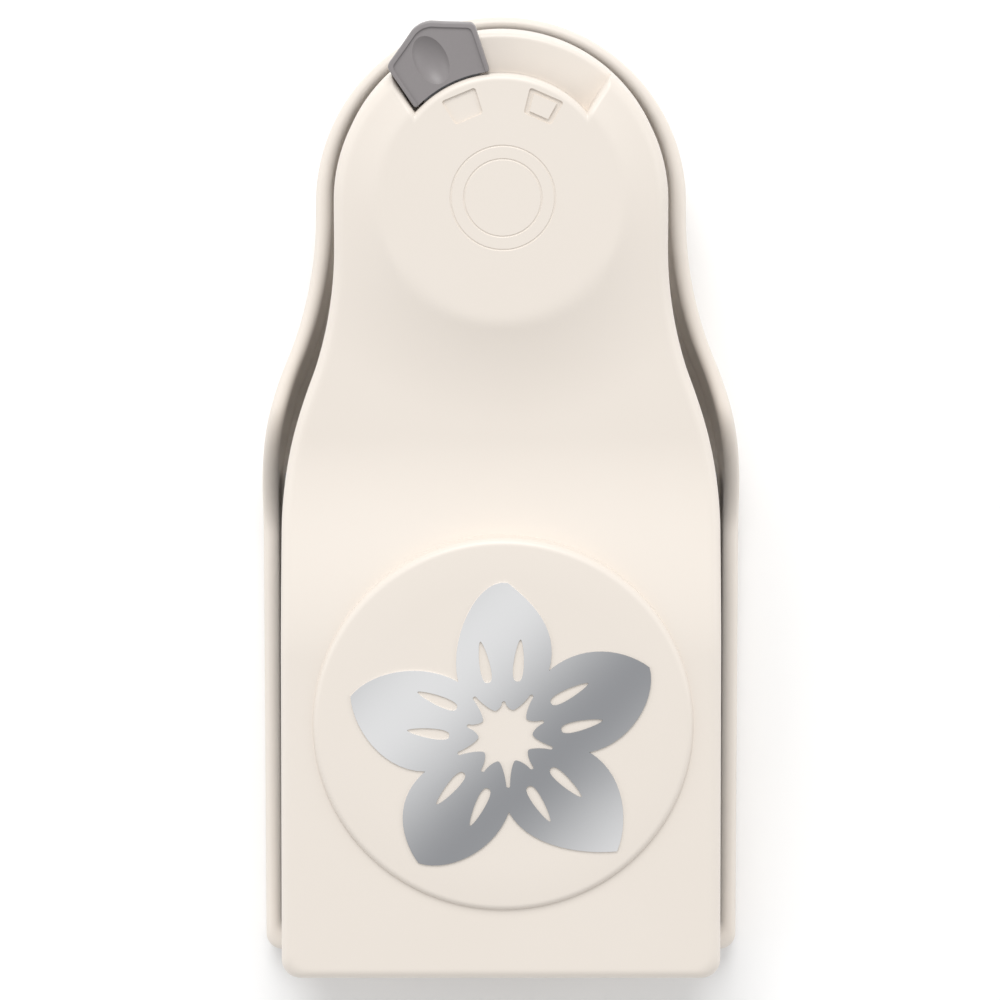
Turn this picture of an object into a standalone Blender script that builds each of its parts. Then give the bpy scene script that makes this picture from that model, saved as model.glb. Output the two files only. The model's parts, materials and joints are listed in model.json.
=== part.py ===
"""Craft punch: a lever press that cuts one flower from paper, with or without its inner details.

The lever is hinged at the front, above the paper slot, and rests raised at the back. Pressing the
round pad drives a flower-shaped punch through a guide plate and the paper into a die plate. The grey
knob at the back chooses whether a carrier of fine pins cuts the petal slots and the star as well.

Everything is modelled with the lever pressed flat, in millimetres, +Y towards the back, and is then
opened by the empties that stand on the joint axes.
"""
import math

import bmesh
import bpy
from mathutils import Matrix, Vector

MM = 0.001

# Driving dimensions, in millimetres and degrees.
OPEN_ANGLE = 10.0
HINGE_Y, HINGE_Z = -71.5, 17.5
GAP = 0.3

ORIGIN_SHIFT = 0.65
BASE_HALF_WIDTH, BASE_FRONT_HALF_WIDTH = 41.65, 41.15
BASE_FRONT = -80.2
BASE_ARCH_RADIUS, BASE_ARCH_Y = 31.75, 49.65
BASE_BEND_Y, BASE_BEND_HALF = 22.5, 24.65
BASE_WALL, BASE_FLOOR, BASE_REAR_THINNING = 2.75, 2.4, 0.5
BASE_CORNER = 2.8
RIM_LOW, RIM_HIGH = 8.5, 24.0
RIM_RISE_START, RIM_RISE_END = -7.0, 15.0

COVER_HALF_WIDTH, COVER_FRONT_HALF_WIDTH = 36.8, 37.3
COVER_FRONT = -80.9
COVER_ARCH_RADIUS, COVER_ARCH_Y = 27.7, 51.2
COVER_BEND_Y, COVER_BEND_HALF = 19.6, 24.4
COVER_WALL = 2.0
COVER_BOTTOM = 12.0
COVER_EDGE_ROUND = 2.4
HEAD_Z, SADDLE_Z, PAD_Z, PAD_EDGE_Z = 31.6, 26.2, 28.8, 26.4
HEAD_END_Y, SADDLE_Y, PAD_START_Y = -18.0, 11.5, 31.0
SHOULDER_WIDTH = 6.3

DISC_RADIUS, DISC_Y, DISC_Z, DISC_ROOT_Z = 31.75, -35.6, 32.6, 28.2
TRACK_RADIUS, TRACK_Y = 18.8, 53.7
TRACK_HALF_ANGLE, TRACK_END_LEAN, SLIT_HALF_ANGLE = 48.8, 33.2, 44.7
LEDGE_Z = 24.0

SLOT_LOW, SLOT_HIGH = 8.7, 10.5
PLATE_BACK = 3.2
DIE_HALF_WIDTH, DIE_FRONT, DIE_BOTTOM = 37.8, -77.0, 2.7
GUIDE_HALF_WIDTH, GUIDE_FRONT, GUIDE_TOP = 33.5, -74.8, 14.5
SPACER_FRONT = -7.0

FLOWER_X, FLOWER_Y = 0.8, -37.65
PUNCH_LOW = 7.02
FLANGE_LOW, FLANGE_HIGH, FLANGE_RADIUS, FLANGE_FRONT = 14.8, 17.3, 27.5, -60.6
STROKE = (FLOWER_Y - HINGE_Y) * math.sin(math.radians(OPEN_ANGLE))
DETAIL_DROP = 1.7
DETAIL_LOW, DETAIL_HIGH = 3.7, 6.7
CARRIER_LOW, CARRIER_HIGH, CARRIER_RADIUS, CARRIER_BUTTON = 19.2, 21.0, 18.5, 22.15
PIN_LOW = 7.72
RETAINER_LOW, RETAINER_HIGH = 1.0, 2.4

SELECTOR_TURN = 52.6
DRIVE_RADIUS = 11.7
SLIDE_TRAVEL = 2 * DRIVE_RADIUS * math.sin(math.radians(SELECTOR_TURN / 2))
SLIDE_LOW, SLIDE_HIGH, SLIDE_NOSE = 22.6, 24.1, 21.0
ARM_LOW, ARM_HIGH = 24.5, 26.2
KNOB_LOW, KNOB_HIGH = 24.4, 28.6
KNOB_HALF_ANGLE = 20.8
KNOB_TIP = [(7.9, 25.4), (7.8, 26.3), (4.0, 28.3), (1.5, 29.7), (0, 29.95)]

RAIL_IN, RAIL_OUT, RAIL_LOW, RAIL_HIGH = 22.0, 25.0, 20.5, 24.0
EAR_IN, EAR_OUT, EAR_RADIUS = 25.5, 28.5, 3.8
HINGE_PIN_RADIUS = 2.4

# Fastener places: (x, y), and for the cover's bosses their bottom, top and the bore's end as well.
BASE_SCREWS = ((-34, -73.5), (34, -73.5), (-34, -1.5), (34, -1.5))
RIVETS = ((-29, -2), (-11, -2), (11, -2), (29, -2))
COVER_BOSSES = (
    (-14, -65.5, 24.4, 30.8, 28.8),
    (14, -65.5, 24.4, 30.8, 28.8),
    (-19.4, 27, 22.6, 27.2, 25.8),
    (19.4, 27, 22.6, 27.2, 25.8),
)
# Clockwise angles round the flower, from the back: the notches that hold lugs and springs.
LUG_ANGLES = (32.5, 177.7, 246.9)
RETURN_ANGLES = (-40.2, 32.5, 100.1, 246.9)

# The flower: for each petal the clockwise angle and radius of its tip and how steeply its two sides
# meet it, and the notches between the petals, starting with the one before the first petal.
PETALS = (
    (0.7, 26.1, 100, 52),
    (63.7, 26.8, 63, 79),
    (136.0, 27.0, 66, 52),
    (214.5, 26.0, 75, 70),
    (285.0, 26.9, 72, 67),
)
NOTCHES = ((-40.2, 12.3), (32.5, 13.4), (100.1, 14.2), (177.7, 12.7), (246.9, 14.7))
PETAL_AXES = (-3, 69, 141, 213, 285)
PETAL_SPREAD, NOTCH_PULL, TIP_PULL = 15, 7.3, 5.2
SLOT_INNER, SLOT_OUTER, SLOT_ANGLE = 9.8, 16.4, 14
SLOT_WIDE, SLOT_NARROW = 0.85, 0.35
STAR_SHORT, STAR_LONG, STAR_VALLEY = 6.6, 8.3, 4.6

CREAM = (0.80, 0.755, 0.70)
STEEL = (0.56, 0.57, 0.58)
DARK_STEEL = (0.22, 0.22, 0.23)
GREY = (0.27, 0.255, 0.25)
FOIL = (0.62, 0.64, 0.67)


def clear_scene():
    for old in list(bpy.data.objects):
        bpy.data.objects.remove(old)


def collection(name):
    made = bpy.data.collections.new(name)
    bpy.context.scene.collection.children.link(made)
    return made


def material(name, color, roughness, metallic):
    made = bpy.data.materials.new(name)
    made.use_nodes = True
    shader = made.node_tree.nodes["Principled BSDF"]
    shader.inputs["Base Color"].default_value = (*color, 1)
    shader.inputs["Roughness"].default_value = roughness
    shader.inputs["Metallic"].default_value = metallic
    return made


# --- Outlines, as lists of (x, y) in millimetres ---

def arc(centre, radius, start, end, steps):
    """Points on an arc, angles in degrees anticlockwise from +X."""
    turns = [math.radians(start + (end - start) * i / steps) for i in range(steps + 1)]
    return [(centre[0] + radius * math.cos(t), centre[1] + radius * math.sin(t)) for t in turns]


def mirrored(half):
    """Close a right-hand half outline with its mirror image."""
    return half + [(-x, y) for x, y in reversed(half) if x > 1e-6]


def mirrored_back(right):
    """A right-hand run of points up to the centre line, and its mirror image back down."""
    return right + [(-x, y) for x, y in reversed(right) if x > 1e-6]


def bend(narrow, wide, middle, half, steps=6):
    """An S of two equal arcs from the narrow half-width at the back to the wide one in front."""
    offset = (wide - narrow) / 2
    radius = (half ** 2 + offset ** 2) / (2 * offset)
    sweep = math.degrees(math.asin(half / radius))
    back = arc((narrow + radius, middle + half), radius, 180, 180 + sweep, steps)
    front = arc((wide - radius, middle - half), radius, sweep, 0, steps)
    return back + front[1:]


def base_outline(inset=0.0, thinning=0.0):
    """Round arch at the back, an S on each side, square front with rounded corners."""
    arch_radius, corner = BASE_ARCH_RADIUS - inset, max(BASE_CORNER - inset, 0.5)
    half = arc((0, BASE_ARCH_Y + thinning), arch_radius, 90, 0, 14)
    half += bend(arch_radius, BASE_HALF_WIDTH - inset, BASE_BEND_Y, BASE_BEND_HALF)
    corner_centre = (BASE_FRONT_HALF_WIDTH - inset - corner, BASE_FRONT + inset + corner)
    return mirrored(half + arc(corner_centre, corner, 0, -90, 4))


def circle(x, y, radius, steps=24):
    return arc((x, y), radius, 0, 360, steps)[:-1]


def rectangle(x0, x1, y0, y1):
    return [(x0, y0), (x1, y0), (x1, y1), (x0, y1)]


def around_flower(angle, radius):
    """A place in the flower's plane, by its clockwise angle from the back and its radius."""
    turn = math.radians(angle)
    return Vector((radius * math.sin(turn), radius * math.cos(turn)))


def bezier(p0, p1, p2, p3, steps):
    points = []
    for i in range(steps):
        t = i / steps
        s = 1 - t
        points.append(p0 * s ** 3 + p1 * 3 * s * s * t + p2 * 3 * s * t * t + p3 * t ** 3)
    return points


def offset(points, distance):
    """Move each corner of a closed clockwise outline outwards, by half the turn of its two sides."""
    moved = []
    for i, here in enumerate(points):
        before = (here - points[i - 1]).normalized()
        after = (points[(i + 1) % len(points)] - here).normalized()
        normal = Vector((-before.y - after.y, before.x + after.x)).normalized()
        stretch = max(0.5, normal.dot(Vector((-before.y, before.x))))
        moved.append(here + normal * distance / stretch)
    return moved


def placed(points):
    return [(FLOWER_X + p.x, FLOWER_Y + p.y) for p in points]


def flower_outline(grow=0.0, steps=5):
    """Five leaning petals, each of two curves that meet at the tip."""
    points = []
    for i, (tip_angle, tip_radius, left, right) in enumerate(PETALS):
        first = around_flower(*NOTCHES[i])
        tip = around_flower(tip_angle, tip_radius)
        last = around_flower(*NOTCHES[(i + 1) % 5])
        leave = first + around_flower(tip_angle - PETAL_SPREAD, NOTCH_PULL)
        reach = tip + around_flower(tip_angle + 180 + left, TIP_PULL)
        points += bezier(first, leave, reach, tip, steps)
        leave = tip + around_flower(tip_angle + 180 - right, TIP_PULL)
        reach = last + around_flower(tip_angle + PETAL_SPREAD, NOTCH_PULL)
        points += bezier(tip, leave, reach, last, steps)
    return placed(offset(points, grow))


def petal_slot(petal, side, grow=0.0):
    """A teardrop beside a petal's axis, wide at its inner end."""
    along = around_flower(PETAL_AXES[petal] + side * SLOT_ANGLE, 1)
    across = Vector((along.y, -along.x))
    ends = ((SLOT_OUTER - SLOT_NARROW, SLOT_NARROW, -90), (SLOT_INNER + SLOT_WIDE, SLOT_WIDE, 90))
    points = []
    for centre, radius, start in ends:
        for i in range(5):
            turn = math.radians(start + 45 * i)
            reach = radius + grow
            points.append(along * (centre + reach * math.cos(turn)) + across * reach * math.sin(turn))
    return placed(points)


def star_outline(grow=0.0):
    """Ten points, short on the petals' axes and long between them."""
    points = []
    for i in range(10):
        radius = STAR_LONG if i % 2 else STAR_SHORT
        angle = PETAL_AXES[0] + 36 * i
        points.append(around_flower(angle, radius))
        points.append(around_flower(angle + 18, STAR_VALLEY))
    return placed(offset(points, grow))


def detail_outlines(grow):
    outlines = [petal_slot(petal, side, grow) for petal in range(5) for side in (-1, 1)]
    return outlines + [star_outline(grow)]


# --- Solids ---

def from_bmesh(name, bm, where):
    mesh = bpy.data.meshes.new(name)
    bm.to_mesh(mesh)
    bm.free()
    made = bpy.data.objects.new(name, mesh)
    where.objects.link(made)
    return made


STAND_UP = Matrix(((0, 0, 1, 0), (1, 0, 0, 0), (0, 1, 0, 0), (0, 0, 0, 1)))


def prism(name, outlines, low, high, where, axis="Z"):
    """Flat outlines given thickness along Z, or profiles of (y, z) given thickness along X.

    The first outline is the edge and any others are holes.
    """
    curve = bpy.data.curves.new(name, "CURVE")
    curve.dimensions = "2D"
    curve.fill_mode = "BOTH"
    curve.extrude = (high - low) * MM / 2
    for outline in outlines:
        spline = curve.splines.new("POLY")
        spline.points.add(len(outline) - 1)
        for point, (u, v) in zip(spline.points, outline):
            point.co = (u * MM, v * MM, 0, 1)
        spline.use_cyclic_u = True
    drawn = bpy.data.objects.new(name + "_curve", curve)
    where.objects.link(drawn)
    mesh = bpy.data.meshes.new_from_object(drawn.evaluated_get(bpy.context.evaluated_depsgraph_get()))
    bpy.data.objects.remove(drawn)
    bpy.data.curves.remove(curve)
    bm = bmesh.new()
    bm.from_mesh(mesh)
    bpy.data.meshes.remove(mesh)
    bmesh.ops.remove_doubles(bm, verts=bm.verts, dist=1e-6)
    bmesh.ops.dissolve_limit(bm, angle_limit=math.radians(0.5), verts=bm.verts, edges=bm.edges)
    bmesh.ops.translate(bm, verts=bm.verts, vec=(0, 0, (low + high) * MM / 2))
    if axis == "X":
        bmesh.ops.transform(bm, verts=bm.verts, matrix=STAND_UP)
    return from_bmesh(name, bm, where)


def box(name, x, y, z, where):
    """A box between pairs of x, y and z."""
    bm = bmesh.new()
    size = [(pair[1] - pair[0]) * MM for pair in (x, y, z)]
    middle = [(pair[1] + pair[0]) * MM / 2 for pair in (x, y, z)]
    bmesh.ops.create_cube(bm, size=1, matrix=Matrix.Translation(middle) @ Matrix.Diagonal((*size, 1)))
    return from_bmesh(name, bm, where)


def rod(name, radius, low, high, x, y, where, axis="Z", segments=24):
    """A round bar along Z at (x, y), or along X where (x, y) means (y, z)."""
    bm = bmesh.new()
    bmesh.ops.create_cone(bm, cap_ends=True, segments=segments, radius1=radius * MM, radius2=radius * MM,
                          depth=(high - low) * MM)
    bmesh.ops.translate(bm, verts=bm.verts, vec=(0, 0, (low + high) * MM / 2))
    if axis == "X":
        bmesh.ops.transform(bm, verts=bm.verts, matrix=STAND_UP)
        bmesh.ops.translate(bm, verts=bm.verts, vec=(0, x * MM, y * MM))
    else:
        bmesh.ops.translate(bm, verts=bm.verts, vec=(x * MM, y * MM, 0))
    return from_bmesh(name, bm, where)


def turned(name, profile, x, y, where, segments=24):
    """A turned piece on a vertical axis: a profile of (radius, z) from top to bottom, screwed round."""
    mesh = bpy.data.meshes.new(name)
    points = [(r * MM, 0, z * MM) for r, z in profile]
    mesh.from_pydata(points, [(i, i + 1) for i in range(len(points) - 1)], [])
    made = bpy.data.objects.new(name, mesh)
    where.objects.link(made)
    screw = made.modifiers.new("turn", "SCREW")
    screw.steps = screw.render_steps = segments
    screw.use_merge_vertices = True
    screw.merge_threshold = 1e-5
    made.location = (x * MM, y * MM, 0)
    return made


def coil(name, radius, wire, low, high, turns, x, y, where):
    """A compression spring standing between two heights."""
    curve = bpy.data.curves.new(name, "CURVE")
    curve.dimensions = "3D"
    curve.bevel_depth = wire * MM
    curve.bevel_resolution = 1
    curve.resolution_u = 1
    curve.use_fill_caps = True
    per_turn = 8
    count = int(turns * per_turn) + 1
    spline = curve.splines.new("POLY")
    spline.points.add(count - 1)
    for i, point in enumerate(spline.points):
        turn = 2 * math.pi * i / per_turn
        height = low + wire + (high - low - 2 * wire) * i / (count - 1)
        point.co = (radius * math.cos(turn) * MM, radius * math.sin(turn) * MM, height * MM, 1)
    made = bpy.data.objects.new(name, curve)
    where.objects.link(made)
    made.location = (x * MM, y * MM, 0)
    return made


def combine(part, tool, operation):
    """Join a tool to a part or cut it out. The tool becomes the part's child, so it follows it."""
    for home in list(tool.users_collection):
        home.objects.unlink(tool)
    CUTTERS.objects.link(tool)
    tool.parent = part
    tool.location = tool.location - part.location
    tool.hide_render = True
    tool.display_type = "WIRE"
    step = part.modifiers.new(tool.name, "BOOLEAN")
    step.operation = operation
    step.object = tool


def cut(part, *tools):
    for tool in tools:
        combine(part, tool, "DIFFERENCE")


def join(part, *tools):
    for tool in tools:
        combine(part, tool, "UNION")


def pivot(name, place, parent=None, turn_x=0.0, turn_z=0.0, shift=(0, 0, 0)):
    """An empty on a joint's axis. Its children are modelled with the press flat and the knob central."""
    made = bpy.data.objects.new(name, None)
    PARTS.objects.link(made)
    centre = Vector(place) * MM
    made["centre"] = centre
    made.parent = parent
    made.location = centre + Vector(shift) * MM - (Vector(parent["centre"]) if parent else Vector())
    made.rotation_euler = (math.radians(turn_x), 0, math.radians(turn_z))
    return made


def finish(part, look, follows=None):
    """Give a part its material, and hang it on the empty that it moves with."""
    part.data.materials.clear()
    part.data.materials.append(look)
    if follows:
        part.parent = follows
        part.location = part.location - Vector(follows["centre"])
    return part


# --- Base and die ---

def make_base():
    base = prism("base_shell", [base_outline()], 0, RIM_HIGH, PARTS)
    hollow = base_outline(BASE_WALL, BASE_REAR_THINNING)
    cut(base, prism("base_hollow", [hollow], BASE_FLOOR, RIM_HIGH + 5, CUTTERS))
    rise = RIM_RISE_END - RIM_RISE_START
    above_rim = [(BASE_FRONT - 5, RIM_LOW)]
    above_rim += [(RIM_RISE_START + rise * i / 8, rim_height(i / 8)) for i in range(9)]
    above_rim += [(RIM_RISE_END + 0.5, RIM_HIGH + 5), (BASE_FRONT - 5, RIM_HIGH + 5)]
    cut(base, prism("base_rim_line", [above_rim], -60, 60, CUTTERS, "X"))
    cut(base, prism("base_window", [rectangle(-30, 30, -67, -8.5)], -5, BASE_FLOOR + 5, CUTTERS))
    for i, (x, y) in enumerate(BASE_SCREWS):
        cut(base, rod(f"base_hole_{i}", 1.8, -5, 5, x, y, CUTTERS))
        cut(base, rod(f"base_sink_{i}", 3.2, -5, 1.4, x, y, CUTTERS))
    finish(base, LOOK["cream"])


def rim_height(t):
    """The rim's rise from the paper slot to the full height, eased at both ends."""
    return RIM_LOW + (RIM_HIGH - RIM_LOW) * ease(t)


def ease(t):
    t = min(1, max(0, t))
    return t * t * (3 - 2 * t)


def make_die():
    outlines = [rectangle(-DIE_HALF_WIDTH, DIE_HALF_WIDTH, DIE_FRONT, PLATE_BACK), flower_outline(GAP / 2)]
    die = prism("die_plate", outlines, DIE_BOTTOM, SLOT_LOW, PARTS)
    cut_rivet_holes(die)
    for i, angle in enumerate(LUG_ANGLES):
        cut(die, lug(f"lug_relief_{i}", angle, 9, 20, 2.6, 0, DETAIL_LOW + DETAIL_DROP + 1 + GAP, CUTTERS))
        spot = flower_spot(angle, 24)
        cut(die, rod(f"retainer_thread_{i}", 1.3, 0, 7.5, *spot, CUTTERS, segments=16))
    for i, (x, y) in enumerate(BASE_SCREWS):
        cut(die, rod(f"die_thread_{i}", 1.7, 0, 7.6, x, y, CUTTERS, segments=16))
    finish(die, LOOK["steel"])


def cut_rivet_holes(plate):
    for i, (x, y) in enumerate(RIVETS):
        cut(plate, rod(f"{plate.name}_rivet_hole_{i}", 1.7, 0, 20, x, y, CUTTERS, segments=12))


def lug(name, angle, inner, outer, half_width, low, high, where):
    """A radial bar under the flower, at a clockwise angle from the back."""
    bar = box(name, (-half_width, half_width), (inner, outer), (low, high), where)
    turn = Matrix.Rotation(-math.radians(angle), 4, "Z")
    bar.data.transform(Matrix.Translation((FLOWER_X * MM, FLOWER_Y * MM, 0)) @ turn)
    return bar


def flower_spot(angle, radius):
    spot = around_flower(angle, radius)
    return FLOWER_X + spot.x, FLOWER_Y + spot.y


def make_detail_die():
    """The sprung matrix inside the die: it backs the paper under the pins and lifts the flower out."""
    matrix = prism("detail_die", [flower_outline(-GAP / 2)], DETAIL_LOW, DETAIL_HIGH, PARTS)
    for i, angle in enumerate(LUG_ANGLES):
        join(matrix, lug(f"lug_{i}", angle, 10, 19, 2, DETAIL_LOW + 0.05, DETAIL_LOW + 1, CUTTERS))
    cut(matrix, prism("detail_holes", detail_outlines(0.25), 0, 12, CUTTERS))
    finish(matrix, LOOK["dark_steel"], DETAIL_DIE)


def make_retainer():
    """The plate under the die that the detail die's springs stand on, open where the slugs fall."""
    outlines = [circle(FLOWER_X, FLOWER_Y, 27.5, 48), circle(FLOWER_X, FLOWER_Y, 8.7, 24)]
    for axis in PETAL_AXES:
        sector = [around_flower(axis + a, 9.7) for a in (-22, -11, 0, 11, 22)]
        sector += [around_flower(axis + a, 17.5) for a in (22, 11, 0, -11, -22)]
        outlines.append(placed(sector))
    outlines += [circle(*flower_spot(angle, 24), 1.3, 12) for angle in LUG_ANGLES]
    finish(prism("die_retainer", outlines, RETAINER_LOW, RETAINER_HIGH, PARTS), LOOK["steel"])
    for i, angle in enumerate(LUG_ANGLES):
        screw = [(0, 7), (1, 7), (1, 0.85), (2.2, 0.85), (2.2, 0.3), (0, 0.3)]
        screw = turned(f"retainer_screw_{i + 1}", screw, *flower_spot(angle, 24), PARTS, 16)
        finish(screw, LOOK["dark_steel"])
        low, high = RETAINER_HIGH + 0.15, DETAIL_LOW + DETAIL_DROP - 0.15
        spring = coil(f"die_spring_{i + 1}", 1.5, 0.2, low, high, 2.5, *flower_spot(angle, 16), PARTS)
        finish(spring, LOOK["steel"])


def make_guide():
    """The spacer that leaves the paper slot, and the guide plate over it with the fixed hinge ears."""
    height = (SLOT_LOW + GAP, SLOT_HIGH - GAP)
    spacer = box("slot_spacer", (-33, 33), (SPACER_FRONT, PLATE_BACK), height, PARTS)
    cut_rivet_holes(spacer)
    finish(spacer, LOOK["steel"])
    edge = rectangle(-GUIDE_HALF_WIDTH, GUIDE_HALF_WIDTH, GUIDE_FRONT, PLATE_BACK)
    guide = prism("guide_plate", [edge, flower_outline(GAP / 2)], SLOT_HIGH, GUIDE_TOP, PARTS)
    cut_rivet_holes(guide)
    ear = [(HINGE_Y - EAR_RADIUS, GUIDE_TOP - 1), (HINGE_Y + EAR_RADIUS, GUIDE_TOP - 1)]
    ear += arc((HINGE_Y, HINGE_Z), EAR_RADIUS, 0, 180, 12)
    bore = circle(HINGE_Y, HINGE_Z, HINGE_PIN_RADIUS + GAP)
    for side in (-1, 1):
        low, high = sorted((side * EAR_IN, side * EAR_OUT))
        join(guide, prism(f"guide_ear_{side}", [ear, bore], low, high, CUTTERS, "X"))
        low, high = sorted((side * (RAIL_IN - 0.4), side * (RAIL_OUT + 0.4)))
        cut(guide, box(f"ear_relief_{side}", (low, high), (-85, -67.2), (5, 16), CUTTERS))
        low, high = sorted((side * (EAR_OUT + 0.1), side * (EAR_OUT + 1.6)))
        cut(guide, box(f"clip_relief_{side}", (low, high), (-76, -67), (13, 16), CUTTERS))
    for i, angle in enumerate(RETURN_ANGLES):
        cut(guide, rod(f"spring_pocket_{i}", 3.3, SLOT_HIGH + 0.8, 20, *flower_spot(angle, 23.5), CUTTERS))
    finish(guide, LOOK["steel"])
    for i, (x, y) in enumerate(RIVETS):
        rivet = [(0, 16.2), (1.6, 16.1), (2.6, 15.4), (2.6, 14.8), (1.4, 14.8), (1.4, 3), (0, 3)]
        finish(turned(f"die_rivet_{i + 1}", rivet, x, y, PARTS, 16), LOOK["dark_steel"])
    for i, (x, y) in enumerate(BASE_SCREWS):
        screw = [(0, 7), (1.4, 7), (1.4, 1.1), (2.8, 1.1), (2.8, 0.3), (0, 0.3)]
        finish(turned(f"base_screw_{i + 1}", screw, x, y, PARTS, 16), LOOK["dark_steel"])


def make_return_springs():
    for i, angle in enumerate(RETURN_ANGLES):
        low, high = SLOT_HIGH + 0.95, FLANGE_LOW + STROKE - 0.15
        spring = coil(f"return_spring_{i + 1}", 2.3, 0.35, low, high, 4, *flower_spot(angle, 23.5), PARTS)
        finish(spring, LOOK["steel"])


def make_hinge_pin():
    pin = rod("hinge_pin", HINGE_PIN_RADIUS, -31, 31, HINGE_Y, HINGE_Z, PARTS, "X")
    ring = [circle(HINGE_Y, HINGE_Z, 5, 8), circle(HINGE_Y, HINGE_Z, 1.8, 16)]
    clip = arc((HINGE_Y, HINGE_Z), 4, 30, 330, 20) + arc((HINGE_Y, HINGE_Z), 2.05, 330, 30, 20)
    for side, word in ((-1, "left"), (1, "right")):
        low, high = sorted((side * 28.7, side * 29.9))
        cut(pin, prism(f"pin_groove_{word}", ring, low, high, CUTTERS, "X"))
        low, high = sorted((side * 28.9, side * 29.7))
        finish(prism(f"pin_clip_{word}", [clip], low, high, PARTS, "X"), LOOK["dark_steel"])
    finish(pin, LOOK["steel"])


# --- Punch ---

def make_punch():
    """The flower-shaped punch and its flange, bored for the detail pins."""
    punch = prism("outline_punch", [flower_outline(-GAP / 2)], PUNCH_LOW, FLANGE_LOW + 0.5, PARTS)
    end = math.degrees(math.asin((FLANGE_FRONT - FLOWER_Y) / FLANGE_RADIUS))
    flange = arc((FLOWER_X, FLOWER_Y), FLANGE_RADIUS, end, 180 - end, 40)
    join(punch, prism("punch_flange", [flange], FLANGE_LOW, FLANGE_HIGH, CUTTERS))
    cut(punch, prism("punch_bores", detail_outlines(0.25), 0, 30, CUTTERS))
    for i, angle in enumerate(LUG_ANGLES):
        spot = flower_spot(angle, 16)
        cut(punch, rod(f"carrier_pocket_{i}", 2.2, FLANGE_LOW + 1, 25, *spot, CUTTERS, segments=16))
        low, high = FLANGE_LOW + 1.15, CARRIER_LOW - 0.15
        spring = coil(f"carrier_spring_{i + 1}", 1.5, 0.25, low, high, 2.5, *spot, PARTS)
        finish(spring, LOOK["steel"], PUNCH)
    finish(punch, LOOK["dark_steel"], PUNCH)


def make_pin_carrier():
    """The plate that holds the ten slot pins and the star pin, with the button the slide presses."""
    plate = circle(FLOWER_X, FLOWER_Y, CARRIER_RADIUS, 40)
    carrier = prism("pin_carrier", [plate], CARRIER_LOW, CARRIER_HIGH, PARTS)
    dome = [(0, CARRIER_BUTTON), (1.3, 21.95), (2.3, 21.45), (2.6, 20.8), (2.6, 20.3), (0, 20.3)]
    join(carrier, turned("carrier_button", dome, FLOWER_X, FLOWER_Y, CUTTERS, 20))
    join(carrier, prism("detail_pins", detail_outlines(0), PIN_LOW, CARRIER_LOW + 0.6, CUTTERS))
    finish(carrier, LOOK["dark_steel"], CARRIER)


# --- Lever ---

def top_height(y):
    """The cover's top along its centre line: flat head, saddle, flat pad."""
    if y <= SADDLE_Y:
        return HEAD_Z + (SADDLE_Z - HEAD_Z) * ease((y - HEAD_END_Y) / (SADDLE_Y - HEAD_END_Y))
    return SADDLE_Z + (PAD_Z - SADDLE_Z) * ease((y - SADDLE_Y) / (PAD_START_Y - SADDLE_Y))


def edge_height(y):
    """The same along its edges, lower beside the pad."""
    if y <= SADDLE_Y:
        return top_height(y)
    return SADDLE_Z + (PAD_EDGE_Z - SADDLE_Z) * ease((y - SADDLE_Y) / (PAD_START_Y - SADDLE_Y))


def cover_half(inset):
    half = arc((0, COVER_ARCH_Y), COVER_ARCH_RADIUS - inset, 90, 0, 14)
    half += bend(COVER_ARCH_RADIUS - inset, COVER_HALF_WIDTH - inset, COVER_BEND_Y, COVER_BEND_HALF, 7)
    corner = 3.2 - min(inset, 2.4)
    corner_centre = (COVER_FRONT_HALF_WIDTH - inset - corner, COVER_FRONT + inset + corner)
    start, end = half[-1], (COVER_FRONT_HALF_WIDTH - inset, corner_centre[1])
    for y in (-8, -11, -14, HEAD_END_Y):
        along = (start[1] - y) / (start[1] - end[1])
        half.append((start[0] + (end[0] - start[0]) * along, y))
    return half + arc(corner_centre, corner, 0, -90, 4)


def loft(name, rings, where):
    """A closed solid from rings of (inset, height by y), bottom to top, capped by straight rungs."""
    bm = bmesh.new()
    loops = []
    for inset, height in rings:
        half = cover_half(inset)
        right = [bm.verts.new((x * MM, y * MM, height(y) * MM)) for x, y in half]
        left = [bm.verts.new((-x * MM, y * MM, height(y) * MM)) for x, y in half[1:]]
        loops.append((right, [right[0]] + left))
    for (right, left), (next_right, next_left) in zip(loops, loops[1:]):
        around = right + left[:0:-1]
        above = next_right + next_left[:0:-1]
        for i in range(len(around)):
            j = (i + 1) % len(around)
            bm.faces.new((around[i], around[j], above[j], above[i]))
    for right, left in (loops[0], loops[-1]):
        bm.faces.new((right[0], right[1], left[1]))
        for i in range(1, len(right) - 1):
            bm.faces.new((right[i], right[i + 1], left[i + 1], left[i]))
    bmesh.ops.recalc_face_normals(bm, faces=bm.faces)
    return from_bmesh(name, bm, where)


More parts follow.
